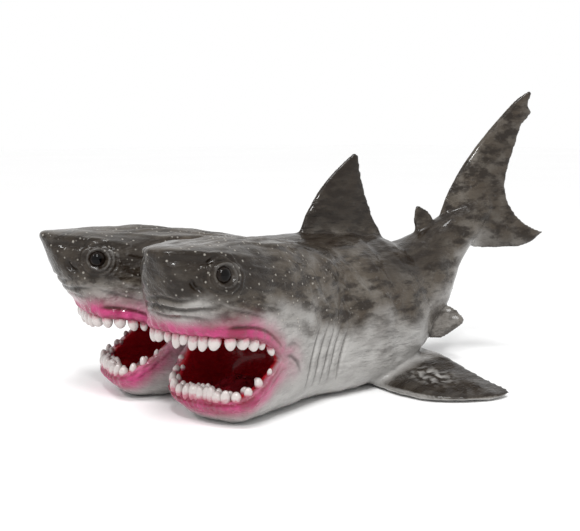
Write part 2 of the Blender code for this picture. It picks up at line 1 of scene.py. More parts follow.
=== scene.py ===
"""Looks of a two-headed shark figurine, moulded in glossy soft vinyl and spray-painted.

The frame gives the figurine's place and box. The skin is lofted again here at full fineness from
the same sizes as the moulding, joined, sculpted and painted; the teeth, tongues and eyes are
pieces of their own. While it is built, a place is a distance back from the two snout tips, a
distance to the shark's left and a height above the ground; the last step moves it to the frame.
"""
from __future__ import annotations
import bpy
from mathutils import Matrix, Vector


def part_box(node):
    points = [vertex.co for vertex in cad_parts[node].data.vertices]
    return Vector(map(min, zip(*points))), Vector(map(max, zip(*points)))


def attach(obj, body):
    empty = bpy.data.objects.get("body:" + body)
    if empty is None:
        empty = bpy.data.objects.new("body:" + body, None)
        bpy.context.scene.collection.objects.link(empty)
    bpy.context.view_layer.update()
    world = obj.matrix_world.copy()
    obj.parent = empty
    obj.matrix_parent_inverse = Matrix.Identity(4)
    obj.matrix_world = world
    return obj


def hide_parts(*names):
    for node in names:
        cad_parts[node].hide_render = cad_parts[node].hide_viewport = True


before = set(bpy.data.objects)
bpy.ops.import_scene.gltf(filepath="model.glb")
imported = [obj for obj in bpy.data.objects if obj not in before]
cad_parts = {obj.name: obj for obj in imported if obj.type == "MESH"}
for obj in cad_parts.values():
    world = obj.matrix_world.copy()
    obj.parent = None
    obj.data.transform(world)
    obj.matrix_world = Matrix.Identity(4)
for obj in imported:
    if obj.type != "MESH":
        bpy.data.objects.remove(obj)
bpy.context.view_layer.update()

import logging
import math
from collections.abc import Callable
from dataclasses import dataclass, field
from enum import Enum

import bmesh
import bpy
import numpy as np
from mathutils import Vector

MM = 0.001
NODE = "shark_figurine"
BODY = "root"
Lip = Callable[[np.ndarray], np.ndarray] | float
Value = bpy.types.NodeSocket | float | tuple
log = logging.getLogger("figurine")


class Profile:
    """A smooth curve through a few stations, which never overshoots them."""

    def __init__(self, *stations: tuple[float, float]) -> None:
        """Fits the curve.

        Args:
            stations: Pairs of a place and the value there, in rising order of place.
        """
        self.at = np.array([row[0] for row in stations], float)
        self.value = np.array([row[1] for row in stations], float)
        rise = np.diff(self.value) / np.diff(self.at)
        self.slope = np.concatenate([rise[:1], np.zeros(len(rise) - 1), rise[-1:]])
        same = rise[:-1] * rise[1:] > 0
        total = np.where(same, rise[:-1] + rise[1:], 1)
        self.slope[1:-1] = np.where(same, 2 * rise[:-1] * rise[1:] / total, 0)

    def __call__(self, place: np.ndarray | float) -> np.ndarray:
        """The value at one place or at many.

        Args:
            place: Where along the stations; beyond them their ends hold.

        Returns:
            The value or values there.
        """
        place = np.clip(place, self.at[0], self.at[-1])
        i = np.clip(np.searchsorted(self.at, place, side="right") - 1, 0, len(self.at) - 2)
        width = self.at[i + 1] - self.at[i]
        t = (place - self.at[i]) / width
        return (
            self.value[i] * (1 + 2 * t) * (1 - t) ** 2
            + self.slope[i] * width * t * (1 - t) ** 2
            + self.value[i + 1] * t * t * (3 - 2 * t)
            + self.slope[i + 1] * width * t * t * (t - 1)
        )


def signed_power(value: np.ndarray, power: np.ndarray | float) -> np.ndarray:
    """Values raised to a power, keeping their signs."""
    return np.sign(value) * np.abs(value) ** power


def smooth_step(low: float, high: float, value: np.ndarray) -> np.ndarray:
    """0 below low, 1 above high, and an easy rise between; it falls where high is the lower."""
    t = np.clip((value - low) / (high - low), 0, 1)
    return t * t * (3 - 2 * t)


def lumps(points: np.ndarray, wavelength: float, seed: int, waves: int = 9) -> np.ndarray:
    """Soft unevenness between about -1 and 1.

    Args:
        points: Places, one a row.
        wavelength: The usual distance from lump to lump.
        seed: Fixes the draw.
        waves: How many waves are laid over each other.

    Returns:
        One value for each place.
    """
    draw = np.random.default_rng(seed)
    total = np.zeros(len(points))
    for _ in range(waves):
        heading = draw.normal(size=3)
        heading /= np.linalg.norm(heading)
        pitch = wavelength * draw.uniform(0.7, 1.6)
        total += np.sin(points @ heading * (2 * math.pi / pitch) + draw.uniform(0, 2 * math.pi))
    return total / math.sqrt(waves)


@dataclass(frozen=True)
class Trunk:
    """The trunk: its spine runs level, then climbs and swings to the shark's left."""

    start: float = 84.0 * MM
    end: float = 278.0 * MM
    half_width: float = 55.0 * MM
    half_height: float = 48.0 * MM
    spine_height: float = 45.0 * MM
    tail_lift: float = 62.0 * MM
    tail_swing: float = 38.0 * MM
    back_squareness: float = 2.15
    lift: Profile = Profile((0, 0), (0.34, 0), (0.52, 0.016), (0.60, 0.05), (0.65, 0.095), (0.69, 0.145),
                            (0.73, 0.21), (0.765, 0.30), (0.805, 0.42), (0.835, 0.52), (0.91, 0.75),
                            (1, 1))
    swing: Profile = Profile((0, 0), (0.34, 0), (0.5, 0.10), (0.62, 0.26), (0.69, 0.37), (0.765, 0.53),
                             (0.86, 0.68), (0.91, 0.80), (1, 1))
    width: Profile = Profile((0, 0.78), (0.08, 0.92), (0.18, 1), (0.34, 1.01), (0.44, 0.99), (0.52, 0.93),
                             (0.60, 0.83), (0.69, 0.65), (0.765, 0.46), (0.82, 0.32), (0.89, 0.22),
                             (1, 0.09))
    height: Profile = Profile((0, 0.94), (0.34, 0.97), (0.52, 0.92), (0.60, 0.845), (0.65, 0.81),
                              (0.69, 0.73), (0.73, 0.63), (0.765, 0.53), (0.805, 0.45), (0.835, 0.375),
                              (0.91, 0.28), (1, 0.13))
    flank_drop: Profile = Profile((0, 0.28), (0.5, 0.28), (0.75, 0.06), (1, 0))
    belly_squareness: Profile = Profile((0, 4.0), (0.5, 4.2), (0.66, 2.9), (0.8, 2.1), (1, 2.0))

    def share(self, station: np.ndarray | float) -> np.ndarray | float:
        """How far along the trunk a distance back is, from 0 to 1."""
        return (station - self.start) / (self.end - self.start)

    def spine(self, station: np.ndarray | float) -> np.ndarray:
        """The spine's centre at one or many distances back.

        Args:
            station: A distance along the trunk, from the snouts.

        Returns:
            The centre, or a row for each.
        """
        share = self.share(np.asarray(station, float))
        return np.stack([
            self.tail_swing * self.swing(share),
            np.asarray(station, float) + 0 * share,
            self.spine_height + self.tail_lift * self.lift(share),
        ], axis=-1)

    def frame(self, station: float) -> tuple[np.ndarray, np.ndarray, np.ndarray]:
        """The spine's centre there, and the directions to the trunk's left and up from it.

        Args:
            station: A distance along the trunk, from the snouts.

        Returns:
            The centre, the direction left and the direction up.
        """
        step = 1.0 * MM
        along = self.spine(station + step) - self.spine(station - step)
        along /= np.linalg.norm(along)
        left = np.cross(along, (0.0, 0.0, 1.0))
        left /= np.linalg.norm(left)
        return self.spine(station), left, np.cross(left, along)

    def sizes(self, station: np.ndarray | float) -> tuple:
        """The half width, the drop of the widest level, and the reach above and below that.

        Args:
            station: A distance along the trunk, from the snouts.

        Returns:
            The four lengths.
        """
        share = self.share(station)
        half_height = self.half_height * self.height(share)
        drop = half_height * self.flank_drop(share)
        return self.half_width * self.width(share), drop, half_height + drop, half_height - drop

    def surface(self, station: float, angle: np.ndarray | float) -> np.ndarray:
        """The surface round one station of the spine, at angles from the left upwards.

        Args:
            station: A distance along the trunk, from the snouts.
            angle: From the left upwards, in radians.

        Returns:
            A point for each angle.
        """
        centre, left, up = self.frame(station)
        half_width, drop, above, below = self.sizes(station)
        sine, cosine = np.sin(angle), np.cos(angle)
        power = 2 / np.where(sine > 0, self.back_squareness, self.belly_squareness(self.share(station)))
        aside = half_width * signed_power(cosine, power)
        rise = np.where(sine > 0, above, below) * signed_power(sine, power) - drop
        return centre + np.multiply.outer(aside, left) + np.multiply.outer(rise, up)

    def point(self, back: float, angle: float) -> np.ndarray:
        """The surface at a true distance back from the snouts, where it climbs too.

        Args:
            back: A true distance back.
            angle: From the left upwards, in radians.

        Returns:
            The point.
        """
        station = back
        for _ in range(40):
            station += 0.5 * (back - float(self.surface(station, angle)[1]))
        return self.surface(station, angle)

    def reach(self, back: np.ndarray, height: np.ndarray) -> np.ndarray:
        """How far the level front stretch reaches sideways at distances back and heights.

        Args:
            back: Distances back from the snouts.
            height: Heights above the ground.

        Returns:
            The reach at each.
        """
        half_width, drop, above, below = self.sizes(back)
        rise = height - (self.spine_height - drop)
        power = np.where(rise > 0, self.back_squareness, self.belly_squareness(self.share(back)))
        inside = 1 - np.abs(rise / np.where(rise > 0, above, below)) ** power
        return half_width * np.maximum(inside, 0) ** (1 / power)

    def rings(self, count: int, points: int) -> np.ndarray:
        """Rings of the whole trunk, front to rear.

        Args:
            count: How many rings.
            points: How many points in each.

        Returns:
            The rings' points.
        """
        turns = 2 * math.pi * (np.arange(points) + 0.5) / points
        stations = self.start + (self.end - self.start) * np.linspace(0, 1, count)
        return np.array([self.surface(station, turns) for station in stations])


@dataclass(frozen=True)
class Head:
    """One head, in a frame of its own: back from the snout tip, to its left, and up."""

    side: int
    length: float = 146.0 * MM
    half_width: float = 34.0 * MM
    crown: float = 99.0 * MM
    spread: float = 53.5 * MM
    turn: float = math.radians(15)
    left_setback: float = 4.5 * MM
    lip_height: float = 52.0 * MM
    chin_height: float = 13.0 * MM
    corner_back: float = 64.0 * MM
    corner_height: float = 35.0 * MM
    lip_thickness: float = 6.0 * MM
    mouth_back: float = 100.0 * MM
    palate_rise: float = 9.0 * MM
    jaw_floor: float = 5.0 * MM
    gape_margin: float = 1.6 * MM
    eye_back: float = 26.0 * MM
    eye_height: float = 84.0 * MM
    cheek_share: float = 0.42
    crown_squareness: float = 3.2
    jaw_squareness: float = 2.6
    top: Profile = Profile((0, 0.985), (0.02, 0.995), (0.10, 1.0), (0.35, 0.995), (0.55, 0.975), (0.75, 0.93),
                           (1, 0.86))
    bottom: Profile = Profile((0, 0.965), (0.018, 0.89), (0.04, 0.79), (0.07, 0.70), (0.10, 0.63),
                              (0.135, 0.57), (0.165, 0.50), (0.20, 0.33), (0.23, 0.17), (0.26, 0.085),
                              (0.30, 0.03), (0.35, -0.005), (0.42, -0.012), (0.85, -0.012), (1, 0.04))
    width: Profile = Profile((0, 0.06), (0.018, 0.20), (0.05, 0.38), (0.10, 0.57), (0.14, 0.71), (0.19, 0.84),
                             (0.28, 0.95), (0.40, 0.99), (0.55, 1.0), (0.75, 1.0), (0.88, 0.94), (1, 0.82))

    @property
    def setback(self) -> float:
        """How far behind the other snout's tip this one lies."""
        return self.left_setback if self.side > 0 else 0.0

    @property
    def word(self) -> str:
        """The side as a word for names."""
        return "left" if self.side > 0 else "right"

    def section(self, back: np.ndarray | float) -> tuple:
        """The half width, cheek level, and reach above and below that, at distances back.

        Args:
            back: Distances back from the snout tip.

        Returns:
            The four lengths at each.
        """
        share = np.asarray(back, float) / self.length
        top, bottom = self.crown * self.top(share), self.crown * self.bottom(share)
        cheek = bottom + self.cheek_share * (top - bottom)
        return self.half_width * self.width(share), cheek, top - cheek, cheek - bottom

    def fullness(self, back: np.ndarray, aside: np.ndarray, height: np.ndarray) -> np.ndarray:
        """0 on the head's axis, 1 on its closed skin, more outside.

        Args:
            back: Distances back from the snout tip.
            aside: Distances to the head's left.
            height: Heights above the ground.

        Returns:
            One value for each place.
        """
        half_width, cheek, above, below = self.section(back)
        rise = height - cheek
        power = np.where(rise > 0, self.crown_squareness, self.jaw_squareness)
        reach = np.where(rise > 0, above, below)
        return np.abs(aside / half_width) ** power + np.abs(rise / reach) ** power

    def reach(self, back: np.ndarray | float, height: np.ndarray | float) -> np.ndarray:
        """How far the closed head reaches sideways at distances back and heights.

        Args:
            back: Distances back from the snout tip.
            height: Heights above the ground.

        Returns:
            The reach at each, and 0 where the head is not.
        """
        back = np.asarray(back, float)
        half_width, cheek, above, below = self.section(back)
        rise = height - cheek
        power = np.where(rise > 0, self.crown_squareness, self.jaw_squareness)
        inside = 1 - np.abs(rise / np.where(rise > 0, above, below)) ** power
        there = (back >= 0) & (back <= self.length)
        return np.where(there, half_width * np.maximum(inside, 0) ** (1 / power), 0.0)

    def to_body(self, back: np.ndarray, aside: np.ndarray, height: np.ndarray) -> np.ndarray:
        """Places in the head's own frame, placed in the body's frame.

        Args:
            back: Distances back from the snout tip.
            aside: Distances to the head's left.
            height: Heights above the ground.

        Returns:
            The places, one a row.
        """
        sine, cosine = math.sin(self.turn) * self.side, math.cos(self.turn)
        x = self.spread * self.side - sine * back + cosine * aside
        y = self.setback + cosine * back + sine * aside
        return np.stack(np.broadcast_arrays(x, y, height), axis=-1)

    def from_body(self, points: np.ndarray) -> tuple[np.ndarray, np.ndarray, np.ndarray]:
        """Places in the body's frame, as distances back, to the head's left, and up.

        Args:
            points: Places, one a row.

        Returns:
            The three distances, each for all places.
        """
        sine, cosine = math.sin(self.turn) * self.side, math.cos(self.turn)
        x, y = points[:, 0] - self.spread * self.side, points[:, 1] - self.setback
        return cosine * y - sine * x, cosine * x + sine * y, points[:, 2]

    def upper_lip(self, back: np.ndarray | float) -> np.ndarray:
        """The height of the upper lip's edge at distances back from the snout."""
        share = np.clip(np.asarray(back, float) / self.corner_back, 0, 1)
        return self.lip_height + (self.corner_height - self.lip_height) * share**5

    def lower_lip(self, back: np.ndarray | float) -> np.ndarray:
        """The height of the lower lip's edge at distances back from the snout.

        Args:
            back: Distances back from the snout tip.

        Returns:
            The height at each.
        """
        front = 0.5 * self.corner_back
        share = np.clip((np.asarray(back, float) - front) / (self.corner_back - front), 0, 1)
        return self.chin_height + (self.corner_height - self.chin_height) * share**1.4

    def arch(self, angles: np.ndarray, lip: Lip, inset: float) -> np.ndarray:
        """Where an arch runs round the head, found by following it out to the skin.

        Args:
            angles: Directions from a centre in the mouth, from straight ahead.
            lip: A function from distance back to height, or a height.
            inset: How far inside the skin the arch lies.

        Returns:
            Rows of distance back, to the left, and up, in the head's frame.
        """
        level = lip if callable(lip) else (lambda back: lip + 0 * back)
        centre = 0.8 * self.corner_back
        near, far = np.zeros(len(angles)), np.full(len(angles), self.length)
        for _ in range(36):
            reach = (near + far) / 2
            back = centre - reach * np.cos(angles)
            inside = reach * np.abs(np.sin(angles)) < self.reach(back, level(back))
            near, far = np.where(inside, reach, near), np.where(inside, far, reach)
        reach = near - inset
        back = centre - reach * np.cos(angles)
        return np.stack([back, reach * np.sin(angles), level(back)], axis=-1)

    def lip_line(self, lip: Lip, offset: np.ndarray | float, widest: float, count: int) -> np.ndarray:
        """A line on the skin along a lip.

        Args:
            lip: A function from distance back to height, or a height.
            offset: How far above it the line runs.
            widest: How far round the head it runs to each side, in degrees.
            count: How many points it has.

        Returns:
            The points, in the body's frame.
        """
        arch = self.arch(np.radians(np.linspace(-widest, widest, count)), lip, 0.0)
        return self.to_body(arch[:, 0], arch[:, 1], arch[:, 2] + offset)

    def on_skin(self, places: tuple, face: int) -> np.ndarray:
        """Points on one face of the head, from pairs of distance back and height in millimetres."""
        back, height = np.array(places, float).T * MM
        return self.to_body(back, face * self.reach(back, height), height)

    def on_crown(self, places: tuple) -> np.ndarray:
        """Points on top of the head, from pairs of distances back and to its left in millimetres.

        Args:
            places: The pairs.

        Returns:
            The points, in the body's frame.
        """
        back, aside = np.array(places, float).T * MM
        half_width, cheek, above, _ = self.section(back)
        inside = 1 - np.abs(aside / half_width) ** self.crown_squareness
        rise = above * np.maximum(inside, 0) ** (1 / self.crown_squareness)
        return self.to_body(back, aside, cheek + rise)

    def rings(self, count: int, points: int) -> np.ndarray:
        """Rings of the closed head, snout to neck.

        Args:
            count: How many rings.
            points: How many points in each.

        Returns:
            The rings' points, in the body's frame.
        """
        turns = 2 * math.pi * (np.arange(points) + 0.5) / points
        rings = []
        for back in self.length * np.linspace(0, 1, count) ** 1.6:
            half_width, cheek, above, below = self.section(back)
            power = 2 / np.where(np.sin(turns) > 0, self.crown_squareness, self.jaw_squareness)
            rise = np.where(np.sin(turns) > 0, above, below) * signed_power(np.sin(turns), power)
            rings.append(self.to_body(back, half_width * signed_power(np.cos(turns), power), cheek + rise))
        return np.array(rings)

    def gape_rings(self, count: int) -> np.ndarray:
        """Rings of the wedge between the lips.

        Args:
            count: How many rings.

        Returns:
            The rings' points, in the body's frame.
        """
        stations = np.concatenate([[-0.12], np.linspace(0.1, 1, count) ** 0.8]) * self.corner_back
        rings = []
        for back in stations:
            high, low = float(self.upper_lip(back)), float(self.lower_lip(back))
            middle, half_gap = (high + low) / 2, max((high - low) / 2, 0.4 * MM)
            levels = np.linspace(middle - half_gap, middle + half_gap, 9)
            reach = float(max(self.reach(back, level) for level in levels)) + self.gape_margin
            aside = np.concatenate([np.full(9, reach), np.full(9, -reach)])
            rings.append(self.to_body(back, aside, np.concatenate([levels, levels[::-1]])))
        return np.array(rings)

    def cavity_rings(self, count: int, levels: int) -> np.ndarray:
        """Rings of the mouth's hollow behind the lips.

        Args:
            count: How many rings.
            levels: How many points up each wall.

        Returns:
            The rings' points, in the body's frame.
        """
        def wall(back: np.ndarray | float, height: np.ndarray | float) -> np.ndarray:
            """How far the hollow reaches sideways."""
            return self.reach(back - self.lip_thickness, height) - self.lip_thickness

        roof = self.lip_height + self.palate_rise
        tries = np.arange(0, self.mouth_back, 0.5 * MM)
        front = float(tries[np.argmax(wall(tries, self.lip_height) > 2 * MM)])
        rings = []
        for share in np.linspace(0, 1, count) ** 1.3:
            back = front + (self.mouth_back - front) * share
            _, cheek, _, below = self.section(back - self.lip_thickness)
            floor = min(max(float(cheek - below) + self.lip_thickness, self.jaw_floor), self.lip_height)
            throat = max(share - 0.55, 0) / 0.45
            floor += 0.35 * throat**2 * (roof - floor)
            top = roof - self.palate_rise * max(1 - share / 0.25, 0) - 0.2 * throat**2 * (roof - floor)
            swing = (1 - np.cos(math.pi * np.linspace(0, 1, levels))) / 2
            height = floor + (top - floor) * swing
            vault = np.maximum(1 - np.maximum(2 * swing - 1, 0) ** 3, 0.0) ** 0.5
            narrowing = math.sqrt(max(1 - throat**3, 0.03))
            aside = np.maximum(wall(back, height) * narrowing * np.maximum(vault, 0.15), 0.4 * MM)
            rings.append(np.concatenate([
                self.to_body(back, aside, height),
                self.to_body(back, -aside[::-1], height[::-1]),
            ]))
        return np.array(rings)


TRUNK = Trunk()
HEADS = (Head(1), Head(-1))
FULL_ROW = 17


def flank(places: tuple, side: int) -> np.ndarray:
    """Points on the outer skin of neck and trunk, where it still runs level.

    Args:
        places: Pairs of a true distance back and a height, in millimetres.
        side: 1 for the shark's left, -1 for its right.

    Returns:
        The points, in the body's frame.
    """
    back, height = np.array(places, float).T * MM
    head = HEADS[0] if side > 0 else HEADS[1]
    aside = np.zeros(len(back))
    along = back
    for _ in range(12):
        along = (back - head.setback - aside * math.sin(head.turn)) / math.cos(head.turn)
        aside = head.reach(along, height)
    neck = np.abs(head.to_body(along, side * aside, height)[:, 0])
    return np.stack([side * np.maximum(neck, TRUNK.reach(back, height)), back, height], axis=-1)


class MeshTools:
    """Small tools that turn rings and arrays into meshes."""

    @staticmethod
    def loft(name: str, rings: np.ndarray) -> bpy.types.Object:
        """A closed object skinned over a row of rings.

        Args:
            name: The object's name.
            rings: An array of rings, each of as many points.

        Returns:
            The new object, with its faces pointing out.
        """
        shape = bmesh.new()
        rows = [[shape.verts.new(point) for point in ring] for ring in rings]
        for row, following in zip(rows, rows[1:]):
            for i, corner in enumerate(row):
                j = (i + 1) % len(row)
                shape.faces.new((corner, row[j], following[j], following[i]))
        shape.faces.new(rows[0])
        shape.faces.new(rows[-1])
        bmesh.ops.recalc_face_normals(shape, faces=shape.faces)
        return MeshTools.from_bmesh(name, shape)

    @staticmethod
    def from_bmesh(name: str, shape: bmesh.types.BMesh) -> bpy.types.Object:
        """An object in the scene from a bmesh, which is freed.

        Args:
            name: The new object's name.
            shape: The shape, used up.

        Returns:
            The new object.
        """
        mesh = bpy.data.meshes.new(name)
        shape.to_mesh(mesh)
        shape.free()
        obj = bpy.data.objects.new(name, mesh)
        bpy.context.scene.collection.objects.link(obj)
        return obj

    @staticmethod
    def settle(obj: bpy.types.Object) -> None:
        """Turns an object's modifiers into plain mesh.

        Args:
            obj: The object, changed in place.
        """
        graph = bpy.context.evaluated_depsgraph_get()
        result = bpy.data.meshes.new_from_object(obj.evaluated_get(graph))
        obj.modifiers.clear()
        old = obj.data
        obj.data = result
        bpy.data.meshes.remove(old)

    @staticmethod
    def combine(target: bpy.types.Object, tool: bpy.types.Object, operation: str) -> None:
        """Joins a tool to the target, or cuts it away, and removes the tool.

        Args:
            target: The object that is changed.
            tool: The object that is used up.
            operation: UNION or DIFFERENCE.
        """
        modifier = target.modifiers.new(operation, "BOOLEAN")
        modifier.operation = operation
        modifier.solver = "EXACT"
        modifier.object = tool
        MeshTools.settle(target)
        bpy.data.objects.remove(tool)
        shape = bmesh.new()
        shape.from_mesh(target.data)
        bmesh.ops.remove_doubles(shape, verts=shape.verts, dist=0.001 * MM)
        shape.to_mesh(target.data)
        shape.free()

    @staticmethod
    def gather(target: bpy.types.Object, others: list[bpy.types.Object]) -> None:
        """Puts the meshes of other objects into the target's mesh, still overlapping.

        Args:
            target: The object that is changed.
            others: The objects that are used up.
        """
        shape = bmesh.new()
        for obj in [target, *others]:
            shape.from_mesh(obj.data)
        shape.to_mesh(target.data)
        shape.free()
        for obj in others:
            bpy.data.objects.remove(obj)

    @staticmethod
    def places(mesh: bpy.types.Mesh) -> np.ndarray:
        """Every vertex's place."""
        flat = np.empty(len(mesh.vertices) * 3)
        mesh.vertices.foreach_get("co", flat)
        return flat.reshape(-1, 3)

    @staticmethod
    def move(mesh: bpy.types.Mesh, places: np.ndarray) -> None:
        """Sets every vertex's place."""
        mesh.vertices.foreach_set("co", places.ravel())
        mesh.update()

    @staticmethod
    def store(mesh: bpy.types.Mesh, name: str, values: np.ndarray) -> None:
        """Stores one number or one vector for every vertex.

        Args:
            mesh: The mesh.
            name: The attribute's name.
            values: A number or a row of three for each vertex.
        """
        kind, word = ("FLOAT", "value") if values.ndim == 1 else ("FLOAT_VECTOR", "vector")
        layer = mesh.attributes.new(name, kind, "POINT")
        layer.data.foreach_set(word, values.astype(np.float32).ravel())

    @staticmethod
    def normals(mesh: bpy.types.Mesh) -> np.ndarray:
        """Every vertex's normal."""
        flat = np.empty(len(mesh.vertices) * 3, np.float32)
        mesh.vertex_normals.foreach_get("vector", flat)
        return flat.reshape(-1, 3).astype(float)

    @staticmethod
    def soften(mesh: bpy.types.Mesh, weight: np.ndarray, rounds: int, keep: bool) -> None:
        """Smooths a mesh towards its neighbours' middles.

        Args:
            mesh: The mesh, changed in place.
            weight: How much each vertex takes part, 0 to 1.
            rounds: How often.
            keep: Whether each round is partly undone, so that thin parts don't shrink.
        """
        edges = np.empty(len(mesh.edges) * 2, np.int64)
        mesh.edges.foreach_get("vertices", edges)
        ends = edges.reshape(-1, 2)
        places = MeshTools.places(mesh)
        count = len(places)
        first = np.concatenate([ends[:, 0], ends[:, 1]])
        second = np.concatenate([ends[:, 1], ends[:, 0]])
        share = 1.0 / np.maximum(np.bincount(first, minlength=count), 1)
        for i in range(rounds * (2 if keep else 1)):
            step = -0.52 if keep and i % 2 else 0.5
            middle = np.stack([
                np.bincount(first, weights=places[second, axis], minlength=count) * share for axis in range(3)
            ], axis=-1)
            places += (step * weight)[:, None] * (middle - places)
        MeshTools.move(mesh, places)


class Fins:
    """All the fins, lofted between their front and rear edges."""

    ring_count = 44
    point_count = 36
    tip_thickness = 2.0 * MM

    dorsal = (
        ((0.02, -0.22), (0.96, -0.22)),
        ((0.0, 0.0), (1.0, -0.02)),
        ((0.13, 0.38), (0.85, 0.24)),
        ((0.30, 0.69), (0.74, 0.50)),
        ((0.45, 0.88), (0.65, 0.76)),
        ((0.55, 0.985), (0.61, 0.96)),
    )
    rear_dorsal = (
        ((0.1, -0.5), (1.0, -0.5)),
        ((0.16, -0.1), (1.0, 0.0)),
        ((0.34, 0.50), (0.98, 0.38)),
        ((0.50, 0.84), (0.88, 0.64)),
        ((0.62, 1.0), (0.70, 0.97)),
    )
    upper_lobe = (
        ((-0.66, -0.12), (0.20, -0.05)),
        ((-0.50, 0.13), (0.54, 0.24)),
        ((-0.06, 0.50), (0.58, 0.36)),
        ((0.28, 0.70), (0.71, 0.57)),
        ((0.52, 0.83), (0.80, 0.71)),
        ((0.70, 0.92), (0.97, 0.815)),
        ((0.80, 0.955), (0.91, 0.865)),
        ((0.93, 0.995), (0.97, 0.97)),
    )
    lower_lobe = (
        ((-0.35, -0.30), (-0.10, 0.55)),
        ((0.0, -0.98), (0.40, 0.90)),
        ((0.30, -1.05), (0.47, 0.40)),
        ((0.57, -1.05), (0.64, -0.16)),
        ((0.80, -0.90), (0.85, -0.48)),
        ((0.98, -0.64), (1.0, -0.57)),
    )
    pelvic = (
        ((0.0, -0.5), (1.0, -0.5)),
        ((0.0, 0.0), (1.0, 0.0)),
        ((0.12, 0.45), (1.02, 0.40)),
        ((0.44, 0.80), (0.98, 0.66)),
        ((0.76, 1.0), (0.88, 0.97)),
    )
    anal = (
        ((0.0, -0.7), (1.0, -0.7)),
        ((0.0, 0.0), (1.0, 0.0)),
        ((0.2, 0.55), (1.0, 0.45)),
        ((0.5, 1.0), (0.9, 0.92)),
    )
    pectoral = (
        (0.20, 0.05, 1.35, 1.0),
        (0.42, 0.0, 1.28, 1.0),
        (0.60, -0.04, 1.14, 0.85),
        (0.76, 0.02, 1.06, 0.60),
        (0.88, 0.22, 1.08, 0.36),
        (0.96, 0.52, 1.12, 0.16),
        (1.0, 0.86, 1.08, 0.03),
    )

    def rings(self, stations: list, thick: float, normal: np.ndarray) -> np.ndarray:
        """Rings of a fin, root to tip.

        Args:
            stations: Pairs of points on the front and the rear edge.
            thick: The fin's thickness at its root.
            normal: The direction across the fin.

        Returns:
            The rings.
        """
        pairs = np.array(stations)
        shares = np.linspace(0, 1, self.ring_count)
        at = shares * (len(pairs) - 1)
        edge = [[Profile(*enumerate(pairs[:, end, axis]))(at) for axis in range(3)] for end in (0, 1)]
        front, rear = (np.stack(axes, axis=-1) for axes in edge)
        middle, half_chord = (front + rear) / 2, (front - rear) / 2
        half_thick = (thick + (self.tip_thickness - thick) * shares) / 2
        half_thick = np.minimum(half_thick, np.linalg.norm(half_chord, axis=1))
        turns = 2 * math.pi * np.arange(self.point_count) / self.point_count
        bulge = np.sin(turns) * (1 + 0.3 * np.cos(turns))
        return (
            middle[:, None]
            + half_chord[:, None] * np.cos(turns)[None, :, None]
            + normal * (half_thick[:, None] * bulge)[:, :, None]
        )

    @staticmethod
    def on_plane(
        origin: np.ndarray, along: np.ndarray, up: np.ndarray, base: float, height: float, outline: tuple
    ) -> list:
        """Places an outline, given in shares of a base and a height, on a plane."""
        return [[origin + along * (u * base) + up * (v * height) for u, v in pair] for pair in outline]

    def back_fin(
        self, name: str, back: float, base: float, height: float, thick: float, outline: tuple
    ) -> bpy.types.Object:
        """A fin standing on the back.

        Args:
            name: The new object's name.
            back: Where its front foot stands.
            base: The length of its foot.
            height: How high it stands.
            thick: Its thickness at the root.
            outline: Pairs of points on the front and the rear edge, in shares of the base and height.

        Returns:
            The fin.
        """
        front, rear = TRUNK.point(back, math.pi / 2), TRUNK.point(back + base, math.pi / 2)
        length = np.linalg.norm(rear - front)
        along = (rear - front) / length
        normal = np.cross(along, (0.0, 0.0, 1.0))
        normal /= np.linalg.norm(normal)
        stations = self.on_plane(front, along, np.cross(normal, along), length, height, outline)
        return MeshTools.loft(name, self.rings(stations, thick, normal))

    def lobe(self, name: str, back: float, rise: float, outline: tuple) -> bpy.types.Object:
        """One lobe of the tail fin.

        Args:
            name: The new object's name.
            back: How far it reaches back.
            rise: How far it reaches up or down.
            outline: Pairs of points on the front and the rear edge, in shares of the base and height.

        Returns:
            The lobe.
        """
        tail_root, thick = 269.0 * MM, 8.0 * MM
        root, before = TRUNK.spine(tail_root), TRUNK.spine(tail_root - 20 * MM)
        along = np.array([(root[0] - before[0]) / (root[1] - before[1]), 1.0, 0.0])
        up = np.array([0.0, 0.0, 1.0])
        normal = np.cross(along, up)
        stations = self.on_plane(root, along, up, back, rise, outline)
        return MeshTools.loft(name, self.rings(stations, thick, normal / np.linalg.norm(normal)))

    def pectoral_fin(self, side: int) -> bpy.types.Object:
        """A pectoral fin, lying out to one side.

        Args:
            side: 1 for the shark's left, -1 for its right.

        Returns:
            The fin.
        """
        back, chord, reach, low, lift, thick = (value * MM for value in (165.0, 43.0, 113.0, 2.5, 12.0, 10.0))
        middle = TRUNK.spine(back)[0] * 0.5
        stations = []
        for out, front, rear, rise in self.pectoral:
            x = middle + side * (reach - side * middle) * out
            stations.append([(x, back + front * chord, low), (x, back + rear * chord, low + rise * lift)])
        normal = np.array([0.0, -lift, chord])
        return MeshTools.loft("pectoral", self.rings(stations, thick, normal / np.linalg.norm(normal)))

    def belly_fin(
        self, name: str, back: float, chord: float, reach: float, angle: float, outline: tuple
    ) -> bpy.types.Object:
        """A small fin on the underside, pointing away from the spine.

        Args:
            name: The new object's name.
            back: Where its front foot stands.
            chord: The length of its foot.
            reach: How far it stands out.
            angle: Where on the trunk, from the left upwards.
            outline: Pairs of points on the front and the rear edge, in shares of the base and height.

        Returns:
            The fin.
        """
        front, rear = TRUNK.point(back, angle), TRUNK.point(back + chord, angle)
        length = np.linalg.norm(rear - front)
        along = (rear - front) / length
        out = front - TRUNK.spine(back)
        out -= along * (out @ along)
        out /= np.linalg.norm(out)
        stations = self.on_plane(front, along, out, length, reach, outline)
        return MeshTools.loft(name, self.rings(stations, 4.5 * MM, np.cross(along, out)))

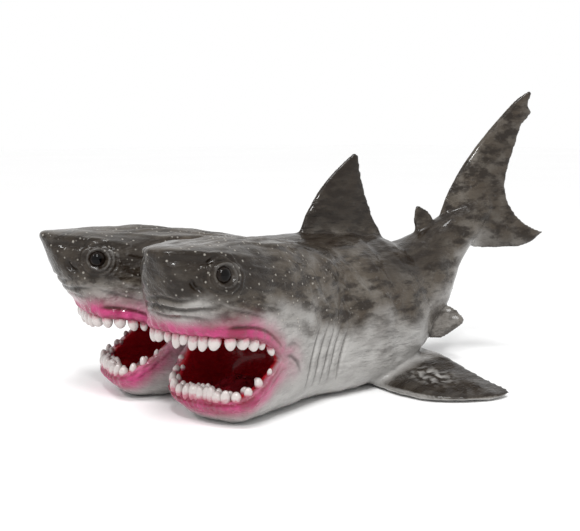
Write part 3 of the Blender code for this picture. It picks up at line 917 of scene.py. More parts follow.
    def build(self) -> list[bpy.types.Object]:
        """Every fin, as a closed object of its own."""
        small = 4.5 * MM
        fins = [
            self.back_fin("dorsal", 145 * MM, 64 * MM, 53 * MM, 9 * MM, self.dorsal),
            self.back_fin("rear_dorsal", 225 * MM, 18 * MM, 15 * MM, small, self.rear_dorsal),
            self.lobe("upper_lobe", 38 * MM, 82 * MM, self.upper_lobe),
            self.lobe("lower_lobe", 48 * MM, 22 * MM, self.lower_lobe),
            self.belly_fin("anal", 245 * MM, 9 * MM, 7 * MM, -math.pi / 2, self.anal),
        ]
        pelvic_angle = math.radians(-55)
        for side, angle in ((1, pelvic_angle), (-1, math.pi - pelvic_angle)):
            fins.append(self.pectoral_fin(side))
            fins.append(self.belly_fin("pelvic", 219 * MM, 17 * MM, 15 * MM, angle, self.pelvic))
        return fins


class Cut(Enum):
    """How a sculpting stroke changes the skin across its line."""

    GROOVE = "groove"
    RIDGE = "ridge"
    FOLD = "fold"


@dataclass(frozen=True)
class Stroke:
    """One line of the sculptor's tool: where it runs, how wide it is and how high or deep."""

    points: np.ndarray
    radius: float
    height: float
    cut: Cut = Cut.GROOVE

    def apply(self, places: np.ndarray) -> tuple[np.ndarray, np.ndarray]:
        """How far the stroke lifts the skin.

        Args:
            places: Every vertex's place.

        Returns:
            The numbers of the vertices that it touches, and their lifts.
        """
        margin = 3.2 * self.radius
        low, high = self.points.min(0) - margin, self.points.max(0) + margin
        touched = np.flatnonzero(((places > low) & (places < high)).all(1))
        near = places[touched]
        best = np.full(len(near), 1e9)
        side = np.zeros(len(near))
        run = np.zeros(len(near))
        steps = np.linalg.norm(np.diff(self.points, axis=0), axis=1)
        total, done = steps.sum(), 0.0
        for start, end, length in zip(self.points, self.points[1:], steps):
            line = end - start
            t = np.clip((near - start) @ line / length**2, 0, 1)
            offset = near - start - t[:, None] * line
            distance = np.linalg.norm(offset, axis=1)
            closer = distance < best
            best = np.where(closer, distance, best)
            side = np.where(closer, offset[:, 2] - 0.6 * offset[:, 1], side)
            run = np.where(closer, (done + t * length) / total, run)
            done += length
        taper = np.sin(math.pi * np.clip(run * 0.92 + 0.04, 0, 1)) ** 0.6
        bell = np.exp(-((best / self.radius) ** 2))
        if self.cut is Cut.FOLD:
            bell *= np.tanh(side / (0.6 * self.radius)) * 1.6
        sign = -1.0 if self.cut is Cut.GROOVE else 1.0
        return touched, sign * self.height * taper * bell


def smooth_line(points: np.ndarray, count: int) -> np.ndarray:
    """A finer smooth line through a few points."""
    at = np.linspace(0, len(points) - 1, count)
    return np.stack([Profile(*enumerate(points[:, axis]))(at) for axis in range(3)], axis=-1)


class Painter:
    """Works out where each colour of paint lies, from 0 to 1 at every vertex.

    Its lengths are in millimetres, where a line says nothing else.
    """

    grey_line = Profile((0, 60), (40, 62), (70, 60), (110, 50), (160, 42), (200, 40), (232, 52), (260, 76),
                        (320, 80))
    snout_edge = ((0.5, 95), (7, 95.5), (16, 94.5), (26, 92.5), (38, 91))
    lip_round = 122
    lip_points = 120

    def __init__(self, places: np.ndarray, normals: np.ndarray, crease: np.ndarray) -> None:
        """Starts with bare vinyl.

        Args:
            places: Every vertex's place, in metres.
            normals: The direction that it faces.
            crease: How deep the sculpting went there, below zero on ridges.
        """
        self.places, self.normals, self.crease = places, normals, crease
        self.x, self.back, self.height = places.T / MM
        self.up = normals[:, 2]
        self.deep, self.pink, self.mouth, self.blood, self.canthus = (np.zeros(len(places)) for _ in range(5))
        self.out = np.abs(self.x - 3.8)
        self.pectoral = smooth_step(46, 60, self.out) * (self.height < 26) * smooth_step(155, 160, self.back)
        self.tail = smooth_step(262, 280, self.back)
        self.upward = smooth_step(0.35, 0.95, self.up)
        self.crown = self.upward * smooth_step(90, 96, self.height) * smooth_step(112, 88, self.back)

    def brush(
        self, coat: np.ndarray, line: np.ndarray, radius: float, strength: float, where: np.ndarray
    ) -> None:
        """Lays one line of paint.

        Args:
            coat: The coat that it goes into, changed in place.
            line: The points that it follows, in metres.
            radius: Half its width.
            strength: How thickly it lies in its middle.
            where: Which vertices may take it.
        """
        touched, amount = Stroke(line, radius * MM, strength, Cut.RIDGE).apply(self.places)
        coat[touched] = np.maximum(coat[touched], np.clip(amount * where[touched], 0, 1))

    def greys(self) -> np.ndarray:
        """How grey the skin is: fully on the back, not at all on the belly."""
        uneven = 5 * lumps(self.places, 34 * MM, 21) + 2.5 * lumps(self.places, 11 * MM, 22)
        shade = smooth_step(-17, 15, self.height - self.grey_line(self.back) + uneven + 6 * self.up)
        # Grey under the rear and on the pelvic fins: partly their own paint, partly painted shade.
        keel = smooth_step(200, 212, self.back) * smooth_step(56, 44, self.height)
        shade = np.maximum(shade, np.maximum(0.8 * self.tail, 0.72 * keel))
        return shade * (1 - self.pectoral) + self.pectoral * smooth_step(-0.45, 0.25, self.up)

    def darken_back(self) -> None:
        """Lays the darkest brown on the fins and the top."""
        back, height = self.back, self.height
        dorsal = smooth_step(88, 98, height) * smooth_step(138, 150, back) * (back < 250)
        fins = np.maximum(
            self.pectoral * smooth_step(0.0, 0.5, self.up), dorsal * np.where(back < 222, 1.0, 0.5)
        )
        middle = self.upward * smooth_step(78, 88, height) * smooth_step(88, 112, back)
        saddle = smooth_step(150, 190, back) * smooth_step(0.0, 0.62, self.up) * smooth_step(54, 72, height)
        deep = np.maximum(fins, 0.88 * np.maximum(middle, saddle) * (1 - self.tail))
        deep = np.maximum(deep * (1 - self.crown), 0.45 * self.crown)
        self.deep = np.maximum(deep, 0.4 * self.tail)

    def paint_mouth(self, head: Head) -> None:
        """Reddens one mouth and its lips.

        Args:
            head: The head.
        """
        back, aside, height = head.from_body(self.places)
        own = (np.sign(self.x) == head.side) & (back < head.mouth_back + 4 * MM) & (back > 8 * MM)
        full = head.fullness(np.clip(back, 1 * MM, None), aside, height)
        inside = own & (height < head.lip_height + head.palate_rise + 3 * MM) & (height > 2 * MM)
        inside &= (height > 9 * MM) | (back > 42 * MM)
        self.mouth = np.maximum(self.mouth, np.where(inside, smooth_step(0.86, 0.70, full), 0))
        for coat, radius, strength, edges in (
            (self.blood, 1.3, 1.0, ((head.upper_lip, 0.3), (head.upper_lip, 5.6))),
            (self.blood, 1.3, 1.0, ((head.lower_lip, -0.3), (head.lower_lip, -4.8))),
            (self.pink, 6.6, 1.25, ((head.upper_lip, 2.4),)),
            (self.pink, 8.4, 1.25, ((head.lower_lip, -4.0),)),
        ):
            for lip, offset in edges:
                line = head.lip_line(lip, offset * MM, self.lip_round, self.lip_points)
                self.brush(coat, line, radius, strength, own)

    def paint_face(self, head: Head) -> None:
        """Darkens the sides of one head, round its eyes and under the crown's edge.

        Args:
            head: The head.
        """
        back, aside, height = (part / MM for part in head.from_body(self.places))
        mine = (np.sign(self.x) == head.side) & (back < 78)
        sideways = np.abs(self.normals[:, 0]) + 0.5 * np.clip(-self.normals[:, 1], 0, 1)
        patch = smooth_step(70, 77, height) * smooth_step(99, 96.5, height) * smooth_step(84, 52, back)
        eye_away = np.hypot((back - head.eye_back / MM) * 0.7, height - head.eye_height / MM + 2)
        socket = (np.abs(aside) > 10) * smooth_step(15, 6, eye_away)
        sides = np.maximum(0.92 * smooth_step(0.12, 0.42, sideways) * patch, 0.9 * socket)
        self.deep = np.maximum(self.deep, mine * sides)
        for face in (1, -1):
            edge = smooth_line(head.on_skin(self.snout_edge, face), 16)
            self.brush(self.canthus, edge, 2.6, 1.6, np.ones(len(self.x)))
        self.deep = np.maximum(self.deep, self.canthus)

    def work(self) -> None:
        """Lays every coat."""
        self.shade = self.greys()
        self.darken_back()
        for head in HEADS:
            self.paint_mouth(head)
            self.paint_face(head)
        edge = 0.7 * smooth_step(-0.55, -0.9, self.normals[:, 1]) * smooth_step(-0.3, 0.1, self.up)
        worn = np.exp(-(((self.out - 70) / 15) ** 2) - ((self.back - 186) / 9) ** 2)
        patchy = smooth_step(-0.5, 0.5, lumps(self.places, 5 * MM, 31, 14))
        scuffs = worn * patchy * smooth_step(0.2, 0.7, self.up)
        # Painted highlights along the sculpted ridges, kept off the mouth and the snout's edge.
        crest_highlight = np.clip(-0.2 * self.crease, 0, 1) * (1 - self.mouth) * (1 - self.canthus)
        self.light = np.maximum(crest_highlight, self.pectoral * np.maximum(edge, scuffs))
        # Painted sheen: the top of each crown made paler, as light from above would make it.
        self.light = np.maximum(self.light, 0.24 * self.crown * (1 - self.canthus))
        self.deep *= 1 - 0.8 * self.pectoral * np.maximum(edge, 0.9 * scuffs)
        # Where the specks' painted glints may lie: the heads and the front of the back.
        self.speckled = smooth_step(190, 100, self.back) * smooth_step(30, 55, self.height)

    def store(self, mesh: bpy.types.Mesh) -> None:
        """Writes the coats to the mesh that the places came from."""
        for name, coat in (
            ("shade", self.shade), ("deep", self.deep), ("pink", self.pink), ("mouth", self.mouth),
            # dark holds the painted shade of the grooves; light holds painted highlights and the pectorals'
            # pale edges and rubbed patches.
            ("dark", self.crease), ("light", self.light), ("blood", self.blood), ("speckled", self.speckled),
        ):
            MeshTools.store(mesh, name, np.clip(coat, 0, 1))


@dataclass
class Skin:
    """The one moulded skin: trunk, heads, fins, gums and mouths, with its painting."""

    voxel: float = 1.05 * MM
    most_triangles: int = 190_000
    head_rings: int = 64
    head_points: int = 64
    trunk_rings: int = 72
    trunk_points: int = 72
    strokes: list[Stroke] = field(default_factory=list)
    crease: np.ndarray | None = None
    even_rounds: int = 6
    neck_rounds: int = 34
    root_rounds: int = 16

    def rough(self) -> bpy.types.Object:
        """The joined form with its mouths cut, as one even mesh."""
        skin = MeshTools.loft("skin", TRUNK.rings(self.trunk_rings, self.trunk_points))
        for head in HEADS:
            solid = MeshTools.loft("head", head.rings(self.head_rings, self.head_points))
            MeshTools.combine(skin, solid, "UNION")
        for head in HEADS:
            MeshTools.combine(skin, MeshTools.loft("gape", head.gape_rings(26)), "DIFFERENCE")
            MeshTools.combine(skin, MeshTools.loft("cavity", head.cavity_rings(30, 20)), "DIFFERENCE")
        MeshTools.gather(skin, Fins().build())
        remesh = skin.modifiers.new("even", "REMESH")
        remesh.mode = "VOXEL"
        remesh.voxel_size = self.voxel
        MeshTools.settle(skin)
        log.info("skin: %d vertices", len(skin.data.vertices))
        return skin

    def blend_joints(self, skin: bpy.types.Object) -> None:
        """Softens facets everywhere, and runs necks and fin roots into the trunk.

        Args:
            skin: The rough skin, changed in place.
        """
        mesh = skin.data
        places = MeshTools.places(mesh)
        MeshTools.soften(mesh, np.ones(len(places)), self.even_rounds, True)
        neck = smooth_step(70 * MM, 84 * MM, places[:, 1]) * smooth_step(152 * MM, 136 * MM, places[:, 1])
        MeshTools.soften(mesh, neck, self.neck_rounds, False)
        roots = np.zeros(len(places))
        lines = [
            (np.array([TRUNK.point(back * MM, math.pi / 2) for back in (145, 160, 175, 190, 206)]), 7.0),
            (np.array([TRUNK.point(back * MM, math.pi / 2) for back in (225, 234, 242)]), 4.0),
            (np.array([TRUNK.spine(back * MM) for back in (258, 266, 274, 280)]), 9.0),
        ]
        for side in (1, -1):
            root = [(side * 48 * MM, back * MM, 8 * MM) for back in (163, 178, 195, 210)]
            lines.append((np.array(root), 10.0))
        for line, radius in lines:
            touched, amount = Stroke(line, radius * MM, 1.0, Cut.RIDGE).apply(places)
            roots[touched] = np.maximum(roots[touched], amount)
        MeshTools.soften(mesh, np.clip(roots * 1.3, 0, 1), self.root_rounds, False)

    def carve(self, points: np.ndarray, radius: float, height: float, cut: Cut = Cut.GROOVE) -> None:
        """Notes one stroke of the tool, to be worked in later.

        Args:
            points: The line that it follows, in metres.
            radius: Half its width, in millimetres.
            height: How deep or high it goes, in millimetres.
            cut: How it changes the skin.
        """
        self.strokes.append(Stroke(points, radius * MM, height * MM, cut))

    def head_strokes(self, head: Head) -> None:
        """Ridges, folds and wrinkles of one head.

        Args:
            head: The head.
        """
        for face in (1, -1):
            for places, radius, height, cut in (
                (((1.0, 95.5), (6, 96), (14, 95.5), (24, 94), (36, 92.5), (50, 91)), 1.8, 1.4, Cut.RIDGE),
                (((2.0, 92), (9, 92.3), (18, 91), (27, 90.5), (36, 89)), 1.5, 1.5, Cut.GROOVE),
                (((18, 89), (24, 90), (31, 89), (38, 85)), 1.5, 1.1, Cut.RIDGE),
                (((11.0, 82.5), (12.2, 79.0), (15.4, 77.0)), 1.3, 2.4, Cut.GROOVE),
                (((10.5, 85.5), (13.5, 83.5), (17.5, 81)), 1.4, 0.5, Cut.RIDGE),
                (((35, 80), (43, 76), (54, 73), (64, 72)), 1.4, 0.9, Cut.GROOVE),
                (((33, 74), (41, 69), (52, 66), (66, 62)), 1.3, 0.8, Cut.FOLD),
                (((39, 87), (50, 84), (62, 82), (76, 79)), 1.5, 0.9, Cut.FOLD),
                (((20, 72), (30, 67), (40, 64), (52, 60)), 1.5, 0.8, Cut.FOLD),
                (((65, 37), (71, 36), (77, 32), (82, 25)), 1.4, 0.7, Cut.GROOVE),
                (((66, 43), (73, 44), (81, 40), (87, 32)), 2.0, 0.6, Cut.FOLD),
                (((62, 52), (71, 54), (80, 51), (90, 43)), 2.2, 0.5, Cut.FOLD),
            ):
                self.carve(smooth_line(head.on_skin(places, face), 16), radius, height, cut)
        draw = np.random.default_rng(5 + head.side)
        for start in (-19, -12, -5, 4, 11, 18):
            backs = np.linspace(14 + abs(start), 118, 7)
            asides = start * np.linspace(0.9, 1.1, 7) + draw.uniform(-2.4, 2.4, 7)
            ridge = smooth_line(head.on_crown(tuple(zip(backs, asides))), 24)
            self.carve(ridge, draw.uniform(1.2, 2.0), draw.uniform(0.6, 1.0), Cut.RIDGE)
            self.carve(ridge + (2.6 * MM, 0, 0), 1.2, 0.6)
        for lip, offset, radius, height, cut in (
            (head.upper_lip, 9.0, 1.6, 0.9, Cut.RIDGE), (head.upper_lip, 5.8, 1.2, 1.0, Cut.GROOVE),
            (head.lower_lip, -7.6, 1.6, 0.7, Cut.RIDGE), (head.lower_lip, -4.9, 1.2, 0.9, Cut.GROOVE),
        ):
            self.carve(head.lip_line(lip, offset * MM, 108, 70), radius, height, cut)
        for height, spread, depth in ((62.5, 34, 0.9), (67, 40, 1.4), (72, 26, 1.1)):
            wave = 0.8 * MM * np.sin(np.linspace(0, 11, 40) + height)
            points = head.lip_line(height * MM, wave, spread, 40)
            self.carve(points, 1.3, depth)
            self.carve(points + (0, 0, 2.5 * MM), 1.5, 0.12 * depth, Cut.RIDGE)

    def neck_strokes(self) -> None:
        """Gill slits, the fold behind each head, and wrinkles down the flanks."""
        draw = np.random.default_rng(11)
        for side in (1, -1):
            for i in range(5):
                back = 106 + 7 * i
                heights = np.linspace(12, 50 - 1.5 * i, 9)
                bow = 3.5 * np.sin(math.pi * np.linspace(0.05, 0.95, 9))
                places = tuple(zip(back - bow + 0.32 * (heights - 30), heights))
                line = smooth_line(flank(places, side), 20)
                self.carve(line, 1.0, 0.8)
                self.carve(line + (0, 2.6 * MM, 0), 1.7, 0.45, Cut.RIDGE)
            fold = flank(((112, 88), (122, 82), (131, 74), (137, 64)), side)
            self.carve(smooth_line(fold, 20), 3.6, 1.5, Cut.FOLD)
            for _ in range(30):
                back, height = draw.uniform(92, 182), draw.uniform(52, 82)
                drop, slant = draw.uniform(9, 24), draw.uniform(6, 16)
                places = tuple((back + slant * t, height - drop * t**1.3) for t in (0, 0.3, 0.65, 1))
                size = draw.uniform(0.45, 1.0)
                kind = Cut.FOLD if draw.uniform() < 0.6 else Cut.RIDGE
                self.carve(smooth_line(flank(places, side), 12), draw.uniform(1.0, 1.7), size, kind)

    def sculpt(self, skin: bpy.types.Object) -> None:
        """Works every fold, socket, gum and lump into the skin.

        Args:
            skin: The blended skin, changed in place.
        """
        mesh = skin.data
        places, normals = MeshTools.places(mesh), MeshTools.normals(mesh)
        for head in HEADS:
            self.head_strokes(head)
        self.neck_strokes()
        lift = 0.32 * MM * lumps(places, 26 * MM, 3) + 0.13 * MM * lumps(places, 9 * MM, 4)
        fins = smooth_step(150 * MM, 170 * MM, places[:, 1]) * smooth_step(94 * MM, 100 * MM, places[:, 2])
        lift *= 1 - 0.6 * fins
        # The crease, deep in grooves and below zero on ridges, later places painted shade in the grooves and
        # painted highlights on the ridges.
        self.crease = np.zeros(len(places))
        for stroke in self.strokes:
            touched, amount = stroke.apply(places)
            lift[touched] += amount
            self.crease[touched] -= amount / MM
        for head in HEADS:
            back, aside, height = head.from_body(places)
            own = (np.sign(places[:, 0]) == head.side) & (back < head.corner_back + 40 * MM)
            ring = np.where(own, self.eye_lift(head, back, aside, height), 0)
            lift += ring
            # From this the sunken socket takes painted shade, and the raised rim a painted highlight.
            self.crease -= 0.7 * ring / MM
            lift += np.where(own, self.gum_lift(head, places, back, aside), 0)
        places += normals * lift[:, None]
        dorsal = (places[:, 2] > 93 * MM) & (places[:, 1] > 150 * MM) & (places[:, 1] < 215 * MM)
        ragged = 0.9 * MM * lumps(places * (0, 0, 1), 5.5 * MM, 8, 5)
        trailing = smooth_step(0.3, 0.8, normals[:, 1])
        places[:, 1] -= np.where(dorsal, trailing * np.maximum(ragged, 0), 0)
        places[:, 2] = np.maximum(places[:, 2], 0)
        MeshTools.move(mesh, places)
        MeshTools.soften(mesh, np.full(len(places), 0.5), 1, True)

    @staticmethod
    def eye_lift(head: Head, back: np.ndarray, aside: np.ndarray, height: np.ndarray) -> np.ndarray:
        """A sunken ring round each eyeball, with creases that run round it.

        Args:
            head: The head.
            back: Distances back from the snout tip.
            aside: Distances to the head's left.
            height: Heights above the ground.

        Returns:
            How far each place is lifted.
        """
        away = np.hypot(back - head.eye_back, height - head.eye_height)
        window = smooth_step(14 * MM, 8 * MM, away) * (np.abs(aside) > 14 * MM)
        creases = np.cos((away - 5.4 * MM) * (2 * math.pi / (2.8 * MM)))
        socket = -1.1 * MM * np.exp(-((away / (4.6 * MM)) ** 4))
        rim = 0.9 * MM * np.exp(-(((away - 6.0 * MM) / (1.5 * MM)) ** 2))
        beyond = np.hypot(back - head.eye_back - 10 * MM, height - head.eye_height)
        behind = 0.8 * MM * np.exp(-((beyond / (8 * MM)) ** 2))
        return window * (socket + rim + 0.75 * MM * creases * (away > 4.5 * MM) + behind)

    @staticmethod
    def gum_lift(head: Head, places: np.ndarray, back: np.ndarray, aside: np.ndarray) -> np.ndarray:
        """Swollen gums along both lips, scalloped between the teeth.

        Args:
            head: The head.
            places: Every vertex's place.
            back: How far back each lies in the head's frame.
            aside: How far to its left.

        Returns:
            How far each place is lifted.
        """
        total = np.zeros(len(places))
        for lip, height in ((head.upper_lip, 3.0 * MM), (head.lower_lip, -2.6 * MM)):
            line = head.lip_line(lip, height, 118, 120)
            touched, amount = Stroke(line, 3.6 * MM, 1.0, Cut.RIDGE).apply(places)
            turn = np.arctan2(aside[touched], 0.8 * head.corner_back - back[touched])
            scallop = 0.72 + 0.28 * np.cos(turn / math.radians(100) * math.pi * FULL_ROW)
            total[touched] += 1.35 * MM * amount * scallop
        return total

    def paint(self, skin: bpy.types.Object) -> None:
        """Stores where each colour of paint lies, as attributes of the skin."""
        painter = Painter(MeshTools.places(skin.data), MeshTools.normals(skin.data), self.crease)
        painter.work()
        painter.store(skin.data)

    def lighten(self, skin: bpy.types.Object) -> None:
        """Brings the mesh under its limit of triangles, keeping most of them where it curves.

        Args:
            skin: The painted skin, changed in place.
        """
        count = sum(len(face.vertices) - 2 for face in skin.data.polygons)
        if count > self.most_triangles:
            fewer = skin.modifiers.new("fewer", "DECIMATE")
            fewer.ratio = self.most_triangles / count
            MeshTools.settle(skin)
        log.info("skin: %d triangles before, %d faces now", count, len(skin.data.polygons))

    def build(self) -> bpy.types.Object:
        """The finished skin, still in the body's frame."""
        skin = self.rough()
        self.blend_joints(skin)
        self.sculpt(skin)
        self.paint(skin)
        self.lighten(skin)
        skin.data.shade_smooth()
        return skin


def linear(red: int, green: int, blue: int) -> tuple[float, float, float, float]:
    """A colour as it looks on screen, 0 to 255 each, in the renderer's linear terms.

    Args:
        red: The red part.
        green: The green part.
        blue: The blue part.

    Returns:
        The colour, fully opaque.
    """
    def channel(value: int) -> float:
        """One of the three parts."""
        share = value / 255
        return share / 12.92 if share <= 0.04045 else ((share + 0.055) / 1.055) ** 2.4

    return channel(red), channel(green), channel(blue), 1.0


class Shader:
    """A short way to write a material's nodes."""

    def __init__(self, name: str) -> None:
        """Starts an empty material with one surface shader.

        Args:
            name: The material's name.
        """
        self.material = bpy.data.materials.new(name)
        self.material.use_nodes = True
        self.tree = self.material.node_tree
        self.surface = self.tree.nodes["Principled BSDF"]
        self.place = self.tree.nodes.new("ShaderNodeTexCoord").outputs["Object"]

    def link(self, source: bpy.types.NodeSocket, target: bpy.types.NodeSocket) -> None:
        """Joins two sockets."""
        self.tree.links.new(source, target)

    def feed(self, target: bpy.types.NodeSocket, value: Value) -> None:
        """Sets a socket, or joins another one to it.

        Args:
            target: The socket.
            value: A number, a colour or another socket.
        """
        if isinstance(value, bpy.types.NodeSocket):
            self.link(value, target)
        else:
            target.default_value = value

    def noise(
        self,
        size: float,
        detail: float = 3.0,
        rough: float = 0.55,
        stretch: tuple[float, float, float] = (1, 1, 1),
    ) -> bpy.types.NodeSocket:
        """Cloudy noise between 0 and 1.

        Args:
            size: The size of one cloud, in metres.
            detail: How many finer layers it has.
            rough: How strong these are.
            stretch: Factors on the three directions; a small one draws the clouds out.

        Returns:
            The noise's value.
        """
        mapping = self.tree.nodes.new("ShaderNodeMapping")
        mapping.inputs["Scale"].default_value = stretch
        self.link(self.place, mapping.inputs["Vector"])
        node = self.tree.nodes.new("ShaderNodeTexNoise")
        node.inputs["Scale"].default_value = 1 / size
        node.inputs["Detail"].default_value = detail
        node.inputs["Roughness"].default_value = rough
        self.link(mapping.outputs["Vector"], node.inputs["Vector"])
        return node.outputs["Fac"]

    def cells(self, size: float) -> bpy.types.NodeSocket:
        """The distance to the middle of the nearest of many scattered cells.

        Args:
            size: The usual distance between their middles, in metres.

        Returns:
            The distance, in cells.
        """
        node = self.tree.nodes.new("ShaderNodeTexVoronoi")
        node.inputs["Scale"].default_value = 1 / size
        self.link(self.place, node.inputs["Vector"])
        return node.outputs["Distance"]

    def attribute(self, name: str) -> bpy.types.NodeSocket:
        """A value stored on the mesh.

        Args:
            name: The name it was stored under.

        Returns:
            The value.
        """
        node = self.tree.nodes.new("ShaderNodeAttribute")
        node.attribute_name = name
        return node.outputs["Fac"]

    def span(
        self, value: Value, low: float, high: float, out_low: float = 0.0, out_high: float = 1.0
    ) -> bpy.types.NodeSocket:
        """A value moved from one span to another, and kept inside it.

        Args:
            value: The value.
            low: The start of its span.
            high: The end of its span.
            out_low: What the start becomes.
            out_high: What the end becomes.

        Returns:
            The moved value.
        """
        node = self.tree.nodes.new("ShaderNodeMapRange")
        self.feed(node.inputs["Value"], value)
        for name, end in (("From Min", low), ("From Max", high), ("To Min", out_low), ("To Max", out_high)):
            node.inputs[name].default_value = end
        return node.outputs["Result"]

    def maths(self, operation: str, first: Value, second: Value) -> bpy.types.NodeSocket:
        """Two values put together, kept between 0 and 1.

        Args:
            operation: The name of the sum to do.
            first: The first value.
            second: The second value.

        Returns:
            The result.
        """
        node = self.tree.nodes.new("ShaderNodeMath")
        node.operation = operation
        node.use_clamp = True
        self.feed(node.inputs[0], first)
        self.feed(node.inputs[1], second)
        return node.outputs["Value"]

    def mix(self, amount: Value, first: Value, second: Value) -> bpy.types.NodeSocket:
        """One colour shaded into another.

        Args:
            amount: How much of the second shows.
            first: The first colour.
            second: The second colour.

        Returns:
            The mixed colour.
        """
        node = self.tree.nodes.new("ShaderNodeMix")
        node.data_type = "RGBA"
        self.feed(node.inputs["Factor"], amount)
        self.feed(node.inputs[6], first)
        self.feed(node.inputs[7], second)
        return node.outputs[2]

    def hold(self, **values: float) -> None:
        """Sets sockets of the surface, named with _ for a space."""
        for name, value in values.items():
            self.surface.inputs[name.replace("_", " ")].default_value = value

    def roughen(self, cloud: Value, low: float, high: float) -> None:
        """Varies the surface's roughness between two values, as a noise does between 0.3 and 0.7."""
        self.link(self.span(cloud, 0.3, 0.7, low, high), self.surface.inputs["Roughness"])

    def bumps(self, *layers: tuple[bpy.types.NodeSocket, float, float]) -> None:
        """Lays relief over the surface.

        Args:
            layers: Each a height from 0 to 1, its strength, and its depth in metres.
        """
        below = None
        for height, strength, depth in layers:
            node = self.tree.nodes.new("ShaderNodeBump")
            node.inputs["Strength"].default_value = strength
            node.inputs["Distance"].default_value = depth
            self.link(height, node.inputs["Height"])
            if below is not None:
                self.link(below, node.inputs["Normal"])
            below = node.outputs["Normal"]
        self.link(below, self.surface.inputs["Normal"])


@dataclass(frozen=True)
class SkinFinish:
    """Soft grey vinyl with sprayed paint, painted shade in its grooves, painted highlights on its ridges,
    crown and specks, and its gloss.
    """

    name: str = "sprayed_vinyl"
    belly: tuple = linear(170, 168, 165)
    flank: tuple = linear(86, 79, 70)
    back: tuple = linear(66, 57, 47)
    deep: tuple = linear(28, 20, 12)
    # Pale paint for the specks' painted glints.
    speck: tuple = linear(196, 190, 180)
    gum: tuple = linear(138, 46, 76)
    bright_gum: tuple = linear(186, 62, 118)
    blood: tuple = linear(104, 8, 30)
    throat: tuple = linear(156, 20, 32)

    def material(self) -> bpy.types.Material:
        """The finish as a material."""
        s = Shader(self.name)
        cloud, fine = s.noise(0.014, 4), s.noise(0.0035, 3)
        streak = s.noise(0.006, 4, 0.6, (1.0, 0.35, 1.0))
        shade = s.maths("ADD", s.attribute("shade"), s.span(cloud, 0.3, 0.7, -0.12, 0.12))
        grey = s.mix(s.span(cloud, 0.35, 0.7), self.flank, self.back)
        colour = s.mix(shade, self.belly, grey)
        on_grey = s.span(s.attribute("shade"), 0.2, 1.0, 0.2, 1.0)
        streaks = s.maths("MULTIPLY", s.span(streak, 0.46, 0.60, 0, 0.9), on_grey)
        colour = s.mix(streaks, colour, self.deep)
        colour = s.mix(s.span(fine, 0.60, 0.75, 0, 0.16), colour, self.belly)
        deep = s.maths("MULTIPLY", s.attribute("deep"), s.span(streak, 0.25, 0.6, 0.62, 1.0))
        colour = s.mix(deep, colour, self.deep)
        # The light coat: painted highlights on the ridges and the crown, and the pectorals' pale leading
        # edges and rubbed patches.
        colour = s.mix(s.span(s.attribute("light"), 0.1, 0.9, 0, 0.8), colour, self.belly)
        pink = s.maths("MULTIPLY", s.attribute("pink"), s.span(fine, 0.25, 0.5, 0.88, 1.0))
        colour = s.mix(pink, colour, s.mix(s.span(cloud, 0.4, 0.65), self.gum, self.bright_gum))
        colour = s.mix(s.span(s.attribute("blood"), 0.25, 0.9, 0, 0.9), colour, self.blood)
        colour = s.mix(s.attribute("mouth"), colour, self.throat)
        # Painted shade: the sculpted grooves and the eye sockets darkened towards the deepest brown.
        colour = s.mix(s.span(s.attribute("dark"), 0.12, 0.8, 0, 0.8), colour, self.deep)
        # Painted glints: pale paint on the tops of the raised specks, standing in for their highlights.
        specks = s.maths("MULTIPLY", s.span(s.cells(0.0036), 0.06, 0.28, 1.0, 0.0), s.span(cloud, 0.38, 0.50))
        off_gums = s.maths("SUBTRACT", s.attribute("speckled"), s.attribute("pink"))
        specks = s.maths("MULTIPLY", specks, off_gums)
        colour = s.mix(s.span(specks, 0.25, 0.8, 0, 0.5), colour, self.speck)
        s.link(colour, s.surface.inputs["Base Color"])
        wet = s.maths("MAXIMUM", s.attribute("pink"), s.attribute("mouth"))
        rough = s.maths("SUBTRACT", s.span(cloud, 0.3, 0.7, 0.26, 0.42), s.span(wet, 0, 1, 0, 0.08))
        s.link(rough, s.surface.inputs["Roughness"])
        s.hold(Specular_IOR_Level=0.12, Coat_Weight=0.32, Coat_Roughness=0.07)
        s.bumps(
            (s.noise(0.0100, 3, 0.6, (1.0, 0.32, 1.3)), 0.9, 0.0028),
            (s.noise(0.0046, 3, 0.6, (1.0, 0.45, 1.0)), 0.8, 0.0016),
            (specks, 0.6, 0.0008),
            (s.noise(0.0009, 2), 0.35, 0.00028),
        )
        return s.material


@dataclass(frozen=True)
class ToothFinish:
    """Off-white paint, pinker at the gum."""

    name: str = "tooth_paint"
    root: tuple = linear(168, 92, 108)
    tip: tuple = linear(188, 180, 177)

    def material(self) -> bpy.types.Material:
        """The finish as a material."""
        s = Shader(self.name)
        up = s.maths("ADD", s.attribute("rise"), s.span(s.noise(0.002, 3), 0.3, 0.7, -0.15, 0.15))
        colour = s.mix(s.span(up, 0.04, 0.42), self.root, self.tip)
        colour = s.mix(s.span(s.noise(0.0012), 0.55, 0.8, 0, 0.3), colour, self.root)
        s.link(colour, s.surface.inputs["Base Color"])
        s.roughen(s.noise(0.003), 0.12, 0.24)
        s.hold(Coat_Weight=0.7, Coat_Roughness=0.05)
        s.bumps((s.noise(0.0014, 2), 0.25, 0.0003))
        return s.material


